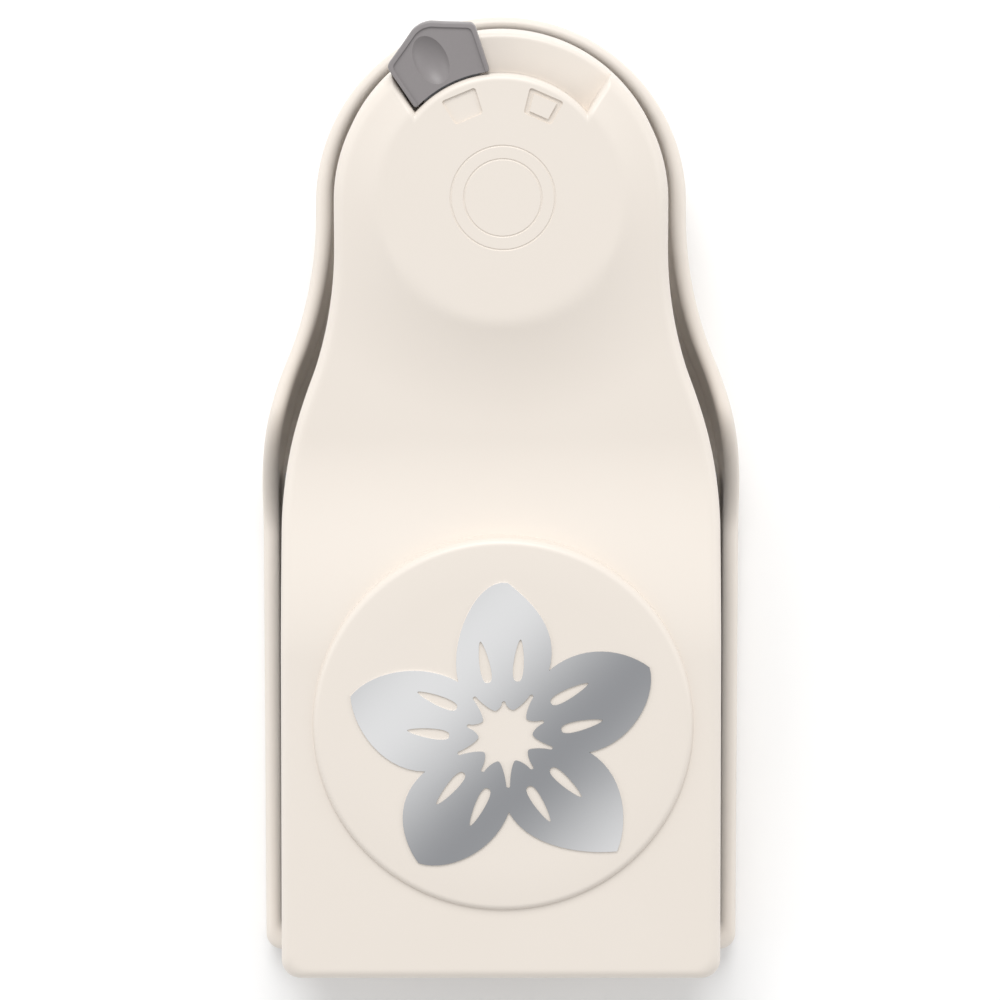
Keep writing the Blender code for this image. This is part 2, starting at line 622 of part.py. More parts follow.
def make_cover():
    rings = [(0, lambda y: COVER_BOTTOM)]
    for turn in (0, 30, 60, 90):
        inset = COVER_EDGE_ROUND * (1 - math.cos(math.radians(turn)))
        drop = COVER_EDGE_ROUND * (1 - math.sin(math.radians(turn)))
        rings.append((inset, lambda y, drop=drop: edge_height(y) - drop))
    rings.append((SHOULDER_WIDTH, top_height))
    cover = loft("lever_cover", rings, PARTS)
    join(cover, rod("flower_disc", DISC_RADIUS, DISC_ROOT_Z, DISC_Z, 0, DISC_Y, CUTTERS, segments=60))
    hollow_cover(cover)
    cut_selector_track(cover)
    for i, (x, y, low, top, deep) in enumerate(COVER_BOSSES):
        join(cover, rod(f"boss_{i}", 3.2, low, top, x, y, CUTTERS, segments=16))
        cut(cover, rod(f"boss_bore_{i}", 1.3, low - 5, deep, x, y, CUTTERS, segments=12))
    join(cover, rod("selector_post", 3, 24.2, PAD_Z - 1, 0, TRACK_Y, CUTTERS))
    cut(cover, rod("selector_post_bore", 1.7, 20, 27, 0, TRACK_Y, CUTTERS, segments=16))
    finish(cover, LOOK["cream"], LEVER)


def hollow_cover(cover):
    """The inside follows the outside, but stays under the selector's ledge at the back."""
    def under(height):
        return lambda y: min(height(y) - COVER_WALL, LEDGE_Z - COVER_WALL if y > 64 else 99)

    rings = [(COVER_WALL, lambda y: COVER_BOTTOM - 5), (COVER_WALL, lambda y: under(edge_height)(y) - 1)]
    rings += [(COVER_WALL + 1, under(edge_height)), (COVER_WALL + SHOULDER_WIDTH, under(top_height))]
    cut(cover, loft("cover_hollow", rings, CUTTERS))
    pocket = circle(0, TRACK_Y, TRACK_RADIUS - COVER_WALL, 38)
    cut(cover, prism("arm_pocket", [pocket], 18, PAD_Z - COVER_WALL - 0.05, CUTTERS))


def cut_selector_track(cover):
    """The step round the back of the pad that the knob slides on, and the slit its arm passes through."""
    track = arc((0, TRACK_Y), TRACK_RADIUS, 90 + TRACK_HALF_ANGLE, 90 - TRACK_HALF_ANGLE, 19)
    lean = math.radians(TRACK_END_LEAN)
    corner = (track[-1][0] + 16 * math.sin(lean), track[-1][1] + 16 * math.cos(lean))
    track += [corner, (corner[0], 110), (-corner[0], 110), (-corner[0], corner[1])]
    cut(cover, prism("selector_track", [track], LEDGE_Z, 45, CUTTERS))
    slit = arc((0, TRACK_Y), TRACK_RADIUS + 0.7, 90 + SLIT_HALF_ANGLE, 90 - SLIT_HALF_ANGLE, 15)
    slit += arc((0, TRACK_Y), TRACK_RADIUS - 3, 90 - SLIT_HALF_ANGLE, 90 + SLIT_HALF_ANGLE, 15)
    cut(cover, prism("arm_slit", [slit], LEDGE_Z + 0.15, PAD_Z - COVER_WALL - 0.2, CUTTERS))


def make_badge():
    outlines = [flower_outline(steps=7)] + detail_outlines(0)
    finish(prism("flower_badge", outlines, DISC_Z + 0.1, DISC_Z + 0.4, PARTS), LOOK["foil"], LEVER)


def make_lever_frame():
    """The pressed-steel frame inside the lever: two rails with hinge ears and press noses, tied across."""
    ear = 4.0
    rail = [(HINGE_Y - ear, RAIL_HIGH)] + arc((HINGE_Y, HINGE_Z), ear, 180, 360, 12)
    rail += [(HINGE_Y + ear, RAIL_LOW)] + arc((FLOWER_Y, RAIL_LOW + 0.1), 3, 180, 360, 8)
    rail += [(20, RAIL_LOW), (20, RAIL_HIGH), (-30, RAIL_HIGH), (-30, 27.6), (-46, 27.6), (-46, RAIL_HIGH)]
    bore = circle(HINGE_Y, HINGE_Z, HINGE_PIN_RADIUS + GAP)
    frame = box("lever_frame", (-23.5, 23.5), (-8, 34), (20.7, 22.2), PARTS)
    join(frame, prism("rail_left", [rail, bore], -RAIL_OUT, -RAIL_IN, CUTTERS, "X"))
    join(frame, prism("rail_right", [rail, bore], RAIL_IN, RAIL_OUT, CUTTERS, "X"))
    join(frame, box("front_bar", (-23.5, 23.5), (-68, -63), (20.8, 23.7), CUTTERS))
    join(frame, box("press_bar", (-23.5, 23.5), (-45.5, -30.5), (24.5, 27.5), CUTTERS))
    for i, (x, y, _, _, deep) in enumerate(COVER_BOSSES):
        cut(frame, rod(f"frame_hole_{i}", 1.5, 15, 26, x, y, CUTTERS, segments=12))
        under = 20.5 if y < 0 else 20.4
        screw = [(0, deep - 0.5), (1, deep - 0.5), (1, under), (2.4, under)]
        screw += [(2.4, under - 1.3), (0, under - 1.3)]
        made = turned(f"cover_screw_{i + 1}", screw, x, y, PARTS, 16)
        finish(made, LOOK["dark_steel"], LEVER)
    finish(frame, LOOK["steel"], LEVER)


# --- Selector ---

def make_slide():
    """The bar that carries the knob's choice forward: its thick nose comes over the carrier's button."""
    nose = FLOWER_Y + 1.2
    side = [(nose, SLIDE_LOW), (nose + 8.2, SLIDE_NOSE), (nose + 13.5, SLIDE_NOSE)]
    side += [(nose + 15, SLIDE_LOW + 0.1), (37, SLIDE_LOW + 0.1), (37, SLIDE_HIGH)]
    side += [(FLOWER_Y - 1.4, SLIDE_HIGH), (FLOWER_Y - 1.4, SLIDE_LOW)]
    slide = prism("selector_slide", [side], -4.5, 4.5, PARTS, "X")
    drive_y = TRACK_Y + SLIDE_TRAVEL / 2
    end = drive_y + 3.2
    tail = [(-4, 30), (6, 30), (15.4, 41), (15.4, end - 3.6), (13.9, end), (6.9, end)]
    tail += [(6.9, 43), (3.5, 35.5), (-4, 35.5)]
    slot = rectangle(8.4, 13.8, drive_y - 1.7, drive_y + 1.7)
    join(slide, prism("slide_tail", [tail, slot], SLIDE_LOW + 0.25, SLIDE_HIGH - 0.15, CUTTERS))
    finish(slide, LOOK["steel"], SLIDE)


def make_selector_arm():
    arm = rod("selector_arm", 5.5, ARM_LOW, ARM_HIGH, 0, TRACK_Y, PARTS)
    join(arm, box("knob_arm", (-5, 5), (TRACK_Y, TRACK_Y + 24.8), (ARM_LOW + 0.1, ARM_HIGH - 0.1), CUTTERS))
    across = (TRACK_Y - 2.2, TRACK_Y + 2.2)
    join(arm, box("drive_arm", (0, DRIVE_RADIUS), across, (ARM_LOW + 0.2, ARM_HIGH - 0.2), CUTTERS))
    join(arm, rod("drive_pin", 1.4, 22.9, ARM_HIGH - 0.5, DRIVE_RADIUS, TRACK_Y, CUTTERS, segments=16))
    cut(arm, rod("arm_bore", 3.3, 20, 30, 0, TRACK_Y, CUTTERS))
    finish(arm, LOOK["dark_steel"], SELECTOR)


def make_knob():
    """A pointed thumb-piece that rides on the ledge, hollow underneath for its arm."""
    inner = arc((0, TRACK_Y), TRACK_RADIUS + 0.4, 90 + KNOB_HALF_ANGLE, 90 - KNOB_HALF_ANGLE, 8)
    outline = inner + [(x, y + TRACK_Y) for x, y in mirrored_back(KNOB_TIP)]
    knob = prism("selector_knob", [outline], KNOB_LOW, KNOB_HIGH, PARTS)
    socket = (TRACK_Y + 10, TRACK_Y + 25.2)
    cut(knob, box("knob_socket", (-5.3, 5.3), socket, (20, ARM_HIGH + GAP), CUTTERS))
    finish(knob, LOOK["grey"], SELECTOR)


def make_selector_screw():
    screw = [(0, 26.6), (1.4, 26.6), (1.4, 22.9), (2.8, 22.9), (2.8, 21.3), (0, 21.3)]
    finish(turned("selector_screw", screw, 0, TRACK_Y, PARTS, 16), LOOK["dark_steel"], LEVER)
    rings = [circle(0, TRACK_Y, 5.4, 24), circle(0, TRACK_Y, 1.7, 16)]
    finish(prism("selector_washer", rings, 23.2, 23.9, PARTS), LOOK["steel"], LEVER)


# --- Assembly ---

clear_scene()
PARTS = collection("craft_punch")
CUTTERS = collection("cutters")

LOOK = {
    "cream": material("cream_plastic", CREAM, 0.45, 0),
    "grey": material("grey_plastic", GREY, 0.45, 0),
    "steel": material("steel", STEEL, 0.35, 1),
    "dark_steel": material("dark_steel", DARK_STEEL, 0.4, 1),
    "foil": material("silver_foil", FOIL, 0.25, 1),
}

LEVER = pivot("lever_axis", (0, HINGE_Y, HINGE_Z), turn_x=OPEN_ANGLE)
SELECTOR = pivot("selector_axis", (0, TRACK_Y, ARM_LOW), LEVER, turn_z=SELECTOR_TURN / 2)
SLIDE = pivot("slide_axis", (0, TRACK_Y, SLIDE_LOW), LEVER)
PUNCH = pivot("punch_axis", (FLOWER_X, FLOWER_Y, FLANGE_LOW), shift=(0, 0, STROKE))
CARRIER = pivot("carrier_axis", (FLOWER_X, FLOWER_Y, CARRIER_LOW), PUNCH)
DETAIL_DIE = pivot("detail_die_axis", (FLOWER_X, FLOWER_Y, DETAIL_LOW), shift=(0, 0, DETAIL_DROP))

make_base()
make_die()
make_detail_die()
make_retainer()
make_guide()
make_return_springs()
make_hinge_pin()
make_punch()
make_pin_carrier()
make_cover()
make_badge()
make_lever_frame()
make_slide()
make_selector_arm()
make_knob()
make_selector_screw()

ORIGIN = bpy.data.objects.new("craft_punch_origin", None)
ORIGIN.location = (0, ORIGIN_SHIFT * MM, 0)
PARTS.objects.link(ORIGIN)
for piece in PARTS.objects:
    if piece.parent is None and piece is not ORIGIN:
        piece.parent = ORIGIN
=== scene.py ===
# %% [markdown]
# A craft punch: a sprung lever presses a flower-shaped punch through paper held in a slot.
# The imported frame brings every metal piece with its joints. This lesson dresses it: the two cream
# mouldings, the grey knob, the foil flower and the springs are modelled finely here, and every
# piece gets its own finish. All lengths are in millimetres until the last step of each piece.

# %% Load the frame
import json
import math

import bmesh
import bpy
from mathutils import Matrix, Vector


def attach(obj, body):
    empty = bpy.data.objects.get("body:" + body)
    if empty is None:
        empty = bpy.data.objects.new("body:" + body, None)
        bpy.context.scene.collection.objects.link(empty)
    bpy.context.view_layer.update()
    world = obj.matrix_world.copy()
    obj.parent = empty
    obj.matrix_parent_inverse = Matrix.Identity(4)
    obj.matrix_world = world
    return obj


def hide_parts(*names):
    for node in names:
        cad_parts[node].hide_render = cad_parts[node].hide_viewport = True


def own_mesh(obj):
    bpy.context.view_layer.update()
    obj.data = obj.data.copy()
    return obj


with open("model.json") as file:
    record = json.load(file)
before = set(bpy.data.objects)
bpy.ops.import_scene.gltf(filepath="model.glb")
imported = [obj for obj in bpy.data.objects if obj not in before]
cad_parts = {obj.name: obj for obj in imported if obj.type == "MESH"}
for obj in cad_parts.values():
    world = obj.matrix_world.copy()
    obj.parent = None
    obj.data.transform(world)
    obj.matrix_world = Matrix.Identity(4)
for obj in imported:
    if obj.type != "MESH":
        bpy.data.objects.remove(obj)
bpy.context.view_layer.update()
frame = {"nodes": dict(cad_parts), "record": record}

# %% [markdown]
# The lever is drawn lying flat and then turned open about its hinge pin, so that its shapes stay
# simple. The whole object sits a little behind the drawing's zero line, to be centred.

# %% Shared measures and placing
MM = 0.001
SHIFT_Y = 0.65
HINGE = Vector((0, -71.5, 17.5))
OPEN = math.radians(10)
TO_METRES = Matrix.Scale(MM, 4) @ Matrix.Translation((0, SHIFT_Y, 0))
TURN_OPEN = Matrix.Translation(HINGE) @ Matrix.Rotation(OPEN, 4, "X") @ Matrix.Translation(-HINGE)
ON_BASE = TO_METRES
ON_LEVER = TO_METRES @ TURN_OPEN
SHARP = math.radians(38)


def piece(name, bm, place, body, slot, *nodes):
    """Turn a finished bmesh into a piece that rides on a body and stands for some nodes."""
    bmesh.ops.transform(bm, matrix=place, verts=bm.verts)
    mesh = bpy.data.meshes.new(name)
    bm.to_mesh(mesh)
    bm.free()
    mesh.shade_smooth()
    mesh.set_sharp_from_angle(angle=SHARP)
    made = bpy.data.objects.new(name, mesh)
    bpy.context.scene.collection.objects.link(made)
    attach(made, body)
    if nodes:
        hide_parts(*nodes)
    print(name, len(mesh.polygons), "faces")
    return made


def carve(bm, *tools):
    """Cut tool shapes out of a shape, all in millimetres, with the exact solver."""
    def plain(name, shape):
        mesh = bpy.data.meshes.new(name)
        shape.to_mesh(mesh)
        shape.free()
        made = bpy.data.objects.new(name, mesh)
        bpy.context.scene.collection.objects.link(made)
        return made

    target = plain("target", bm)
    cutters = [plain("cutter", tool) for tool in tools]
    for cutter in cutters:
        step = target.modifiers.new("carve", "BOOLEAN")
        step.operation, step.object, step.solver = "DIFFERENCE", cutter, "EXACT"
    mesh = bpy.data.meshes.new_from_object(
        target.evaluated_get(bpy.context.evaluated_depsgraph_get()))
    carved = bmesh.new()
    carved.from_mesh(mesh)
    for done in [target, *cutters]:
        bpy.data.objects.remove(done)
    return carved


print("the lever stands open by", round(math.degrees(OPEN)), "degrees")

# %% [markdown]
# Both mouldings share one kind of outline: a round arch at the back, an S on each side and a
# square front. A plan walks that outline in stations. Each station has a point on the edge, a
# centre that its rung runs in to, and the straight distance between edge and centre, so an inset
# is the same width all the way round.

# %% The outline of a moulding
ARCH_STEPS, SIDE_STEPS, FRONT_STEPS, CORNER_STEPS = 56, 96, 26, 10


class Plan:
    """An outline, in stations from the middle of the back to the middle of the front."""
    def __init__(self, arch, arch_y, pole_y, wide, bend_y, bend_half, front_wide, front, corner):
        self.arch, self.arch_y, self.pole_y = arch, arch_y, pole_y
        self.wide, self.bend_y, self.bend_half = wide, bend_y, bend_half
        self.front_wide, self.front, self.corner = front_wide, front, corner
        self.front_pole = front + front_wide
        across = (wide - arch) / 2
        self.bow = (bend_half ** 2 + across ** 2) / (2 * across)

    def half_width(self, y):
        """How far the side stands from the centre line."""
        start, end = self.bend_y + self.bend_half, self.bend_y - self.bend_half
        if y >= start:
            return self.arch
        if y >= self.bend_y:
            return self.arch + self.bow - math.sqrt(self.bow ** 2 - (start - y) ** 2)
        if y >= end:
            return self.wide - self.bow + math.sqrt(self.bow ** 2 - (y - end) ** 2)
        along = (end - y) / (end - self.front - self.corner)
        return self.wide + (self.front_wide - self.wide) * min(1, along)

    def arch_reach(self, angle):
        """From the pole to the arch, at an angle from straight back."""
        off = self.pole_y - self.arch_y
        turn = math.radians(angle)
        inside = (off * math.cos(turn)) ** 2 + self.arch ** 2 - off ** 2
        return -off * math.cos(turn) + math.sqrt(inside)

    def stations(self, extra=()):
        """Right-hand stations, back to front: (edge point, centre, straight distance, angle)."""
        last = math.degrees(math.atan2(self.arch, self.arch_y - self.pole_y))
        angles = sorted({i * last / ARCH_STEPS for i in range(ARCH_STEPS + 1)} | set(extra))
        made = []
        for angle in angles:
            turn, reach = math.radians(angle), self.arch_reach(angle)
            edge = Vector((reach * math.sin(turn), self.pole_y + reach * math.cos(turn)))
            made.append((edge, Vector((0, self.pole_y)), self.arch, angle))
        for i in range(1, SIDE_STEPS + 1):
            share = i / SIDE_STEPS
            y = self.arch_y + (self.front_pole - self.arch_y) * share
            centre_y = y + (self.pole_y - self.arch_y) * (1 - share)
            edge = Vector((self.half_width(y), y))
            made.append((edge, Vector((0, centre_y)), edge.x, None))
        pole = Vector((0, self.front_pole))
        for edge in self.front_edge():
            made.append((edge, pole, self.front_wide, None))
        return made

    def front_edge(self):
        """Down the last of the side, round the corner and along the front."""
        low = self.front + self.corner
        shares = [i / FRONT_STEPS for i in range(1, FRONT_STEPS + 1)]
        heights = [self.front_pole + (low - self.front_pole) * share for share in shares]
        points = [Vector((self.half_width(y), y)) for y in heights]
        centre = Vector((self.front_wide - self.corner, low))
        for i in range(1, CORNER_STEPS + 1):
            turn = -math.pi / 2 * i / CORNER_STEPS
            points.append(centre + self.corner * Vector((math.cos(turn), math.sin(turn))))
        return points + [Vector((centre.x * (1 - share), self.front)) for share in shares]


BASE = Plan(arch=31.75, arch_y=49.65, pole_y=49.65, wide=41.65, bend_y=22.5, bend_half=24.65,
            front_wide=41.15, front=-80.2, corner=2.8)
COVER = Plan(arch=27.7, arch_y=51.2, pole_y=53.7, wide=36.8, bend_y=19.6, bend_half=24.4,
             front_wide=37.3, front=-80.78, corner=3.2)
print("widths: tub", 2 * BASE.wide, "cover", 2 * COVER.front_wide)

# %% [markdown]
# A skin is a grid laid over a plan: its columns are the stations and its rows run from the middle
# out to the edge and down. The operator makes the grid, and a rule then says where each point goes.

# %% A grid over the outline
def mirrored(stations):
    """The left-hand stations and the right-hand ones, as one run from front to back to front."""
    flip = lambda v: Vector((-v.x, v.y))
    left = [(flip(edge), centre, n, None if a is None else -a)
            for edge, centre, n, a in stations[:0:-1]]
    return left + stations


def sheet(columns, rows, place):
    """A grid whose points are put where place(column, row) says."""
    bm = bmesh.new()
    bmesh.ops.create_grid(bm, x_segments=columns - 1, y_segments=rows - 1, size=1)
    for vert in bm.verts:
        column = round((vert.co.x + 1) / 2 * (columns - 1))
        row = round((vert.co.y + 1) / 2 * (rows - 1))
        vert.co = place(column, row)
    return bm


print("stations round the tub:", len(mirrored(BASE.stations())))

# %% [markdown]
# A finish is a small graph of shader nodes. The class below lets that graph be written as sums:
# a wrapped socket can be added, multiplied or subtracted, and each sum adds its Math node.

# %% Writing finishes as sums
class Value:
    """A socket that understands arithmetic."""
    def __init__(self, look, socket):
        self.look, self.socket = look, socket

    def math(self, operation, *others):
        inputs = dict(enumerate([self, *others]))
        return self.look.node("ShaderNodeMath", {"operation": operation}, inputs)

    def __add__(self, other):
        return self.math("ADD", other)

    def __sub__(self, other):
        return self.math("SUBTRACT", other)

    def __rsub__(self, other):
        return self.look.node("ShaderNodeMath", {"operation": "SUBTRACT"}, {0: other, 1: self})

    def __mul__(self, other):
        return self.math("MULTIPLY", other)

    __radd__, __rmul__ = __add__, __mul__


class Look:
    """A material under construction, on the object's own coordinates."""
    def __init__(self, name, metallic=0.0, coat=0.0, coat_roughness=0.1):
        self.made = bpy.data.materials.new(name)
        self.made.use_nodes = True
        self.tree = self.made.node_tree
        self.shader = self.tree.nodes["Principled BSDF"]
        self.shader.inputs["Metallic"].default_value = metallic
        self.shader.inputs["Coat Weight"].default_value = coat
        self.shader.inputs["Coat Roughness"].default_value = coat_roughness
        self.place = self.node("ShaderNodeTexCoord", {}, {}, "Object")

    def node(self, kind, settings, inputs, output=0):
        """Any node: its settings first, then its sockets, as values or as links."""
        node = self.tree.nodes.new(kind)
        for name, value in settings.items():
            setattr(node, name, value)
        for name, value in inputs.items():
            if isinstance(value, Value):
                self.tree.links.new(value.socket, node.inputs[name])
            else:
                node.inputs[name].default_value = value
        return Value(self, node.outputs[output])

    def noise(self, scale, detail=3, stretch=(1, 1, 1)):
        """Noise of a scale per metre, drawn out along an axis where stretch is below 1."""
        where = self.node("ShaderNodeMapping", {}, {"Vector": self.place, "Scale": stretch})
        return self.node("ShaderNodeTexNoise", {},
                         {"Vector": where, "Scale": scale, "Detail": detail})

    def blend(self, factor, first, second):
        """A colour between two colours."""
        return self.node("ShaderNodeMix", {"data_type": "RGBA"},
                         {"Factor": factor, 6: (*first, 1), 7: (*second, 1)}, 2)

    def give(self, color, roughness, bump=None, strength=0.1, depth=0.0001):
        """Join a colour, a roughness and a relief to the shader."""
        self.tree.links.new(color.socket, self.shader.inputs["Base Color"])
        self.tree.links.new(roughness.socket, self.shader.inputs["Roughness"])
        if bump:
            normal = self.node("ShaderNodeBump", {}, {"Height": bump, "Strength": strength,
                                                      "Distance": depth})
            self.tree.links.new(normal.socket, self.shader.inputs["Normal"])
        return self.made


# %% [markdown]
# The mouldings are cream plastic with a soft gloss: nearly even in colour, a very faint cloudiness
# from the resin, and a skin texture too fine to feel, which keeps highlights soft.

# %% Plastics
CREAM, CREAM_WARM = (0.822, 0.758, 0.690), (0.795, 0.728, 0.655)
GREY, GREY_DARK = (0.300, 0.280, 0.282), (0.225, 0.208, 0.210)


def plastic(name, light, dark, roughness, coat):
    look = Look(name, coat=coat, coat_roughness=0.25)
    cloud = look.noise(38, 4)
    grain = look.noise(2600, 2)
    return look.give(look.blend(cloud * 0.8 + grain * 0.2, dark, light),
                     grain * 0.08 + roughness, grain, strength=0.05, depth=0.00005)


cream = plastic("cream_moulding", CREAM, CREAM_WARM, roughness=0.40, coat=0.12)
grey = plastic("grey_moulding", GREY, GREY_DARK, roughness=0.42, coat=0.05)
print("plastics:", cream.name, grey.name)

# %% [markdown]
# The metals differ in how they were made. Plates are rolled, with fine lines across the press.
# Tool steel is ground and oiled, drawn wire has streaks along it, and zinc has a pale bloom.

# %% Metals
def metal(name, light, dark, roughness, scale, stretch, relief):
    look = Look(name, metallic=1.0)
    lines = look.noise(scale, 4, stretch)
    bloom = look.noise(90, 3)
    return look.give(look.blend(lines * 0.6 + bloom * 0.4, dark, light),
                     lines * 0.16 + bloom * 0.08 + roughness, lines, relief, 0.00004)


METALS = {
    "steel": metal("rolled_steel", light=(0.62, 0.63, 0.64), dark=(0.44, 0.45, 0.46),
                   roughness=0.24, scale=900, stretch=(1, 0.03, 1), relief=0.12),
    "tool_steel": metal("ground_tool_steel", light=(0.40, 0.405, 0.42), dark=(0.25, 0.255, 0.27),
                        roughness=0.22, scale=1500, stretch=(0.05, 1, 1), relief=0.10),
    "spring_steel": metal("drawn_wire", light=(0.55, 0.55, 0.56), dark=(0.33, 0.33, 0.34),
                          roughness=0.22, scale=2400, stretch=(1, 1, 0.4), relief=0.08),
    "fastener_steel": metal("zinc_plate", light=(0.66, 0.67, 0.68), dark=(0.46, 0.47, 0.50),
                            roughness=0.20, scale=700, stretch=(1, 1, 1), relief=0.06),
}
for part in frame["record"]["subparts"]:
    node = frame["nodes"][part["node"]]
    node.data.materials.clear()
    node.data.materials.append(METALS.get(part["material_slot"], cream))
print("metals on", len(frame["nodes"]), "nodes")

# %% [markdown]
# The flower on the lid is hot-stamped foil. Its broad, slanting light and dark bands are painted
# reflections:
# a cosine across the slant paints them into the colour, and a half metallic shader gives the shine.

# %% Foil
FOIL_CENTRE = (0.0008, -0.0407, 0.038)
# Painted reflection: the dark and the light band of the foil, and the bands' length, phase and
# ripple.
FOIL_REFLECTION_DARK, FOIL_REFLECTION_LIGHT = (0.335, 0.342, 0.358), (0.868, 0.870, 0.876)
REFLECTION_BAND_LENGTH, REFLECTION_BAND_START, REFLECTION_BAND_RIPPLE = 0.047, 2.07, 0.3


def foil_with_painted_reflections():
    look = Look("foil_with_painted_reflections", metallic=0.4)
    along = 2 * math.pi / REFLECTION_BAND_LENGTH * math.sqrt(0.5)
    centred = look.node("ShaderNodeVectorMath", {"operation": "SUBTRACT"},
                        {0: look.place, 1: FOIL_CENTRE})
    slant = look.node("ShaderNodeVectorMath", {"operation": "DOT_PRODUCT"},
                      {0: centred, 1: (along, -along, 0)}, 1)
    ripple = look.noise(60, 2)
    # The cosine paints slanting reflection bands into the foil's colour; they are painted reflection,
    # not print.
    reflection_wave = (slant + (ripple - 0.5) * REFLECTION_BAND_RIPPLE + REFLECTION_BAND_START).math("COSINE")
    return look.give(look.blend(reflection_wave * 0.5 + 0.5, FOIL_REFLECTION_DARK, FOIL_REFLECTION_LIGHT), ripple * 0.10 + 0.20,
                     look.noise(900, 2), strength=0.03, depth=0.00005)


foil = foil_with_painted_reflections()
print("foil:", foil.name)

# %% [markdown]
# The base is a moulded tub. A cross-section of its wall, with a rounded rim, is carried round the
# outline as a grid; its two open edges are filled to make the floor, and the floor is then cut
# for the die and the screws. The rim climbs from the paper slot to the full height at the back.

# %% The base tub
WALL, FLOOR, REAR_THINNING, RIM_ROUND = 2.75, 2.4, 0.5, 1.3
FILLET, FILLET_MIDDLE, FOOT_ROUND, FOOT_MIDDLE = 0.7, 0.2, 0.9, (0.25, 0.28)
RIM_LOW, RIM_HIGH, RISE_START, RISE_END = 8.5, 24.0, -7.0, 15.0


def ease(t):
    """A smooth step from 0 to 1."""
    t = min(1, max(0, t))
    return t * t * (3 - 2 * t)


def wall_section(rim):
    """Inset and height round the wall: floor, inner face, rim, outer face, foot."""
    turns = [math.radians(15 * i) for i in range(7)]
    section = [(WALL + FILLET, FLOOR), (WALL + FILLET_MIDDLE, FLOOR + FILLET_MIDDLE),
               (WALL, FLOOR + FILLET)]
    section += [(WALL, FLOOR + (rim - RIM_ROUND - FLOOR) * i / 4) for i in (1, 2, 3)]
    section += [(WALL - RIM_ROUND * (1 - math.cos(a)), rim - RIM_ROUND * (1 - math.sin(a)))
                for a in turns]
    section += [(RIM_ROUND * (1 - math.sin(a)), rim - RIM_ROUND * (1 - math.cos(a))) for a in turns]
    section += [(0, 1 + (rim - RIM_ROUND - 1) * i / 4) for i in (3, 2, 1)]
    return section + [(0, FOOT_ROUND), FOOT_MIDDLE, (FOOT_ROUND, 0)]


def base_tub():
    stations = mirrored(BASE.stations())

    def place(column, row):
        edge, centre, straight, _ = stations[column]
        risen = ease((edge.y - RISE_START) / (RISE_END - RISE_START))
        rim = RIM_LOW + (RIM_HIGH - RIM_LOW) * risen
        inset, height = wall_section(rim)[row]
        thinner = REAR_THINNING * max(0, (edge.y - BASE.arch_y) / BASE.arch) * min(1, inset / WALL)
        x, y = edge + (centre - edge) * (inset - thinner) / straight
        return Vector((x, y, height))

    bm = sheet(len(stations), len(wall_section(RIM_LOW)), place)
    bmesh.ops.remove_doubles(bm, verts=bm.verts, dist=0.001)
    bmesh.ops.holes_fill(bm, edges=[e for e in bm.edges if e.is_boundary], sides=0)
    bmesh.ops.recalc_face_normals(bm, faces=bm.faces)
    return bm


print("wall section:", len(wall_section(RIM_LOW)), "points")

# %% [markdown]
# The floor has a window under the die and four sunk holes for the screws. Blocks and cylinders are
# enough as tools; the window's block has its upright edges rounded first.

# %% The window and the screw holes
def block(x, y, z):
    """A box between pairs of x, y and z."""
    bm = bmesh.new()
    size = [pair[1] - pair[0] for pair in (x, y, z)]
    middle = [(pair[1] + pair[0]) / 2 for pair in (x, y, z)]
    bmesh.ops.create_cube(bm, size=1,
                          matrix=Matrix.Translation(middle) @ Matrix.Diagonal((*size, 1)))
    return bm


def drill(radius, low, high, x, y, steps=32):
    """An upright cylinder between two heights."""
    bm = bmesh.new()
    bmesh.ops.create_cone(bm, cap_ends=True, segments=steps, radius1=radius, radius2=radius,
                          depth=high - low, matrix=Matrix.Translation((x, y, (low + high) / 2)))
    return bm


def rounded(bm, offset, segments=4):
    """Round a prism's upright edges."""
    upright = [e for e in bm.edges if abs((e.verts[0].co - e.verts[1].co).normalized().z) > 0.9]
    bmesh.ops.bevel(bm, geom=upright, offset=offset, segments=segments, profile=0.5,
                    affect="EDGES", material=-1)
    return bm


BASE_SCREWS = ((-34, -73.5), (34, -73.5), (-34, -1.5), (34, -1.5))
BELOW, ABOVE, SINK_TOP = -1, 5, 1.4
HOLE_RADIUS, SINK_RADIUS = 1.8, 3.2
window = rounded(block((-30, 30), (-67, -8.5), (BELOW, ABOVE)), 2, 6)
holes = [drill(HOLE_RADIUS, BELOW, ABOVE, x, y) for x, y in BASE_SCREWS]
sinks = [drill(SINK_RADIUS, BELOW, SINK_TOP, x, y) for x, y in BASE_SCREWS]
tub = piece("base_tub", carve(base_tub(), window, *holes, *sinks), ON_BASE, "base",
            "cream_plastic", "base_shell")
tub.data.materials.append(cream)

# %% [markdown]
# The lever's cover is one thin moulding. Its top is a landscape: a level head, a shallow saddle, a
# round pad with a conical skirt, and a step round the back that the knob slides on. The landscape
# is written as a height over each point, and a grid is laid over the plan so that its lines run
# along the step's walls and the rounded edge.

# %% The cover's landscape
EDGE_ROUND, LEDGE_ROUND, INNER_ROUND = 2.0, 0.8, 1.0
COVER_WALL, COVER_LOW = 2.0, 12.0
HEAD_Z, SADDLE_Z, PAD_Z, LEDGE_Z = 31.6, 26.2, 28.8, 24.0
HEAD_END, SADDLE_Y = -25.0, 11.5
PAD_Y, PAD_FLAT, SKIRT_SLOPE, SKIRT_REACH = 51.9, 20.5, 0.30, 17.33
CREASE, ON_LEDGE = 0.5, 0.03
TRACK, STEP_ROUND, NEAR_TRACK = 18.8, 1.1, 20.0
TRACK_ANGLE, TRACK_LEAN = 48.8, math.radians(33.2)
TRACK_END = math.radians(TRACK_ANGLE)
WALL_FOOT = TRACK * Vector((math.sin(TRACK_END), math.cos(TRACK_END)))
WALL_ALONG = Vector((math.sin(TRACK_LEAN), math.cos(TRACK_LEAN)))


